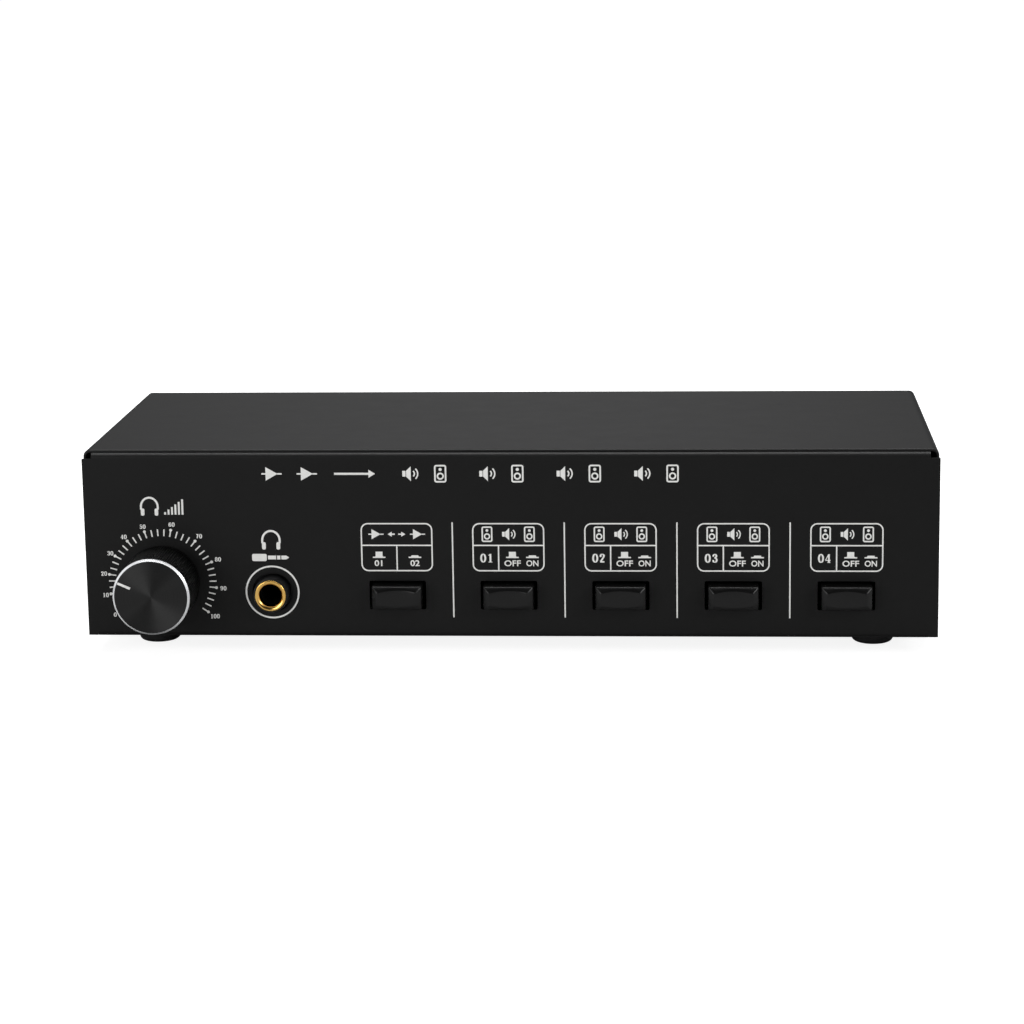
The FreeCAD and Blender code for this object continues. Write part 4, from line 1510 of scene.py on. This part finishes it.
def makeRearPrint(look):
    group = 2 * look["pitch"]
    first = -group * (look["groups"] - 1) / 2
    size, line = look["sign"]
    bm = bmesh.new()
    for rise in (look["minusRise"], look["plusRise"]):
        inkStroke(bm, [(first - size / 2, rise), (first + size / 2, rise)], line)
    inkStroke(bm, [(first, rise - size / 2), (first, rise + size / 2)], line, layer=1)
    for side, text in ((-1, "L"), (1, "R")):
        inkWord(bm, text, first + side * group / 4, look["channelRise"], *look["channel"])
    inkPiece("rearSigns", bm, rear=True, repeat=(look["groups"], group))
    bm = bmesh.new()
    x = first + group / 2
    inkStroke(bm, [(x, y) for y in look["dividers"]], look["line"])
    inkPiece("rearDividers", bm, rear=True, repeat=(look["groups"] - 1, group))
    bm = bmesh.new()
    (markAt, size), (numberAt, height, pitch) = look["mark"], look["number"]
    for number in range(look["groups"]):
        x, isInput = first + number * group, number < look["inputs"]
        mark = amplifierMark if isInput else loudspeakerMark
        mark(bm, x + markAt, look["markRise"], size)
        label = number + 1 if isInput else number + 1 - look["inputs"]
        inkNumber(bm, f"0{label}", x + numberAt, look["markRise"], height, pitch)
    inkPiece("rearNumbers", bm, rear=True)


makeRearPrint(rearLook)
print("print made")

# the pieces that keep the frame's own meshes take their finishes here
nodeFinishes = {
    "chassis": "powderCoatSatinBlack",
    "main_board": "glassEpoxyBoard",
    "terminal_board": "glassEpoxyBoard",
    "board_link": "nylonGlassFilled",
    "board_standoffs": "nickelPlate",
    "board_screws": "zincPlateBright",
    "pot_body": "tinPlate",
    "pot_nut": "nickelPlate",
    "pot_shaft": "nickelPlate",
    "knob_set_screw": "zincPlateBright",
    "post_nuts": "nickelPlate",
}
for number in range(1, 6):
    nodeFinishes[f"switch_body_{number}"] = "nylonGlassFilled"
    nodeFinishes[f"switch_plunger_{number}"] = "acetalNatural"
for node, name in nodeFinishes.items():
    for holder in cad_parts[node].material_slots:
        holder.material = finish[name]
print("frame pieces finished:", len(nodeFinishes))

stageLook = {
    "floorRadius": 30.0,
    "floorColour": "#b0b0b0",
    "glow": 0.87,  # what the floor adds by itself, so that only the shadow darkens it
    "roomLight": 0.36,
    "roomColour": "#f8f8f9",
    # what gloss mirrors: dark in front and low behind, white at both sides and high behind
    "mirrorFront": 0.04,
    "mirrorBack": 0.5,
    "mirrorEnds": 0.06,
    "mirrorAxis": -0.06,
    "mirrorWhite": 1.0,
    # from where to where, in a direction's own x, y and z, each of them fades in
    "fades": {
        "ends": (0.0, 0.25),
        "back": (-0.2, 0.6),
        "sides": (0.32, 0.72),
        "high": (0.5, 0.8),
        "behind": (-0.35, -0.15),
    },
}


def makeStage(look):
    bm = bmesh.new()
    bmesh.ops.create_circle(bm, cap_ends=True, radius=look["floorRadius"], segments=96)
    floor = newObject("floor", bpy.data.meshes.new("floor"))
    bm.to_mesh(floor.data)
    bm.free()
    material, tree = newMaterial("studioPaper")
    path = addNode(tree, "ShaderNodeLightPath").outputs
    colour = {"Color": linear(look["floorColour"])}
    paper = addNode(tree, "ShaderNodeBsdfDiffuse", inputs=colour).outputs[0]
    most, product = {"operation": "MAXIMUM"}, {"operation": "MULTIPLY"}
    rays = {0: path["Is Camera Ray"], 1: path["Is Transmission Ray"]}
    seen = addNode(tree, "ShaderNodeMath", most, rays).outputs[0]
    strength = addNode(tree, "ShaderNodeMath", product, {0: seen, 1: look["glow"]}).outputs[0]
    light = addNode(tree, "ShaderNodeEmission", inputs={"Strength": strength}).outputs[0]
    both = addNode(tree, "ShaderNodeAddShader", inputs={0: paper, 1: light})
    addNode(tree, "ShaderNodeOutputMaterial", inputs={"Surface": both.outputs[0]})
    floor.data.materials.append(material)

    world = bpy.data.worlds.new("studio")
    bpy.context.scene.world = world
    world.use_nodes = True
    tree = world.node_tree
    tree.nodes.clear()
    path = addNode(tree, "ShaderNodeLightPath").outputs
    direction = addNode(tree, "ShaderNodeTexCoord").outputs["Generated"]
    x, y, z = addNode(tree, "ShaderNodeSeparateXYZ", inputs={0: direction}).outputs
    off = {0: x, 1: look["mirrorAxis"]}
    off = addNode(tree, "ShaderNodeMath", {"operation": "SUBTRACT"}, off).outputs[0]
    off = addNode(tree, "ShaderNodeMath", {"operation": "ABSOLUTE"}, {0: off}).outputs[0]
    soft = {"interpolation_type": "SMOOTHSTEP"}
    reads = {"ends": off, "back": y, "sides": off, "high": z, "behind": y}
    fade = {}
    for name, (start, end) in look["fades"].items():
        span = {0: reads[name], 1: start, 2: end}
        fade[name] = addNode(tree, "ShaderNodeMapRange", soft, span).outputs[0]
    blend = {"data_type": "FLOAT"}
    back = {0: fade["ends"], 2: look["mirrorBack"], 3: look["mirrorEnds"]}
    back = addNode(tree, "ShaderNodeMix", blend, back).outputs[0]
    dim = {0: fade["back"], 2: look["mirrorFront"], 3: back}
    dim = addNode(tree, "ShaderNodeMix", blend, dim).outputs[0]
    high = {0: fade["high"], 1: fade["behind"]}
    high = addNode(tree, "ShaderNodeMath", product, high).outputs[0]
    white = addNode(tree, "ShaderNodeMath", most, {0: fade["sides"], 1: high}).outputs[0]
    mirror = {0: white, 2: dim, 3: look["mirrorWhite"]}
    mirror = addNode(tree, "ShaderNodeMix", blend, mirror).outputs[0]
    room = {0: path["Is Glossy Ray"], 2: look["roomLight"], 3: mirror}
    room = addNode(tree, "ShaderNodeMix", blend, room).outputs[0]
    rays = {0: path["Is Camera Ray"], 1: path["Is Transmission Ray"]}
    seen = addNode(tree, "ShaderNodeMath", most, rays).outputs[0]
    strength = addNode(tree, "ShaderNodeMix", blend, {0: seen, 2: room, 3: 1.0}).outputs[0]
    colours = {0: seen, 6: linear(look["roomColour"]), 7: (1, 1, 1, 1)}
    colour = addNode(tree, "ShaderNodeMix", {"data_type": "RGBA"}, colours).outputs[2]
    sky = {"Color": colour, "Strength": strength}
    sky = addNode(tree, "ShaderNodeBackground", inputs=sky).outputs[0]
    addNode(tree, "ShaderNodeOutputWorld", inputs={"Surface": sky})


# where each lamp stands, what it points at, its width and height, all in metres, and its power
lampLooks = {
    "keyBox": {
        "at": (-0.9, -1.18, 0.33),
        "to": (-0.1, -0.07, 0.03),
        "size": (1.1, 0.58),
        "power": 7.0,
    },
    "sideBox": {
        "at": (1.3, -0.9, 0.8),
        "to": (0.05, -0.06, 0.03),
        "size": (0.7, 0.5),
        "power": 8.0,
    },
    "topBox": {
        "at": (0.0, 0.2, 1.25),
        "to": (0, 0.1, 0.03),
        "size": (1.2, 0.5),
        "power": 20.0,
    },
    "rearFill": {
        "at": (-1.3, 1.15, 0.45),
        "to": (0, 0.05, 0.03),
        "size": (0.7, 0.7),
        "power": 5.0,
    },
}


def makeLamps(looks):
    for name, look in looks.items():
        lamp = bpy.data.lights.new(name, "AREA")
        lamp.shape = "RECTANGLE"
        lamp.size, lamp.size_y = look["size"]
        lamp.energy = look["power"]
        holder = newObject(name, lamp)
        holder.visible_camera = False
        holder.location = look["at"]
        aim = Vector(look["to"]) - Vector(look["at"])
        holder.rotation_euler = aim.to_track_quat("-Z", "Y").to_euler()


cameraLook = {
    "at": (0.05706, -0.84245, 0.21786),
    "yaw": 4.004,
    "pitch": -11.185,
    "roll": -0.869,
    "lens": 98.08,
    "sensor": 36.0,
    "shift": -0.06,
    "clip": (0.05, 100.0),
}


def makeCamera(look):
    camera = bpy.data.cameras.new("camera")
    camera.lens = look["lens"]
    camera.sensor_width = look["sensor"]
    camera.shift_y = look["shift"]
    camera.clip_start, camera.clip_end = look["clip"]
    holder = newObject("camera", camera)
    yaw, pitch, roll = (math.radians(look[k]) for k in ("yaw", "pitch", "roll"))
    turn = Matrix.Rotation(yaw, 4, "Z") @ Matrix.Rotation(math.pi / 2 + pitch, 4, "X")
    holder.matrix_world = Matrix.Translation(look["at"]) @ turn @ Matrix.Rotation(roll, 4, "Z")
    bpy.context.scene.camera = holder


makeStage(stageLook)
makeLamps(lampLooks)
makeCamera(cameraLook)
bpy.context.scene.view_settings.view_transform = "Standard"
print("studio made")

bpy.context.view_layer.update()
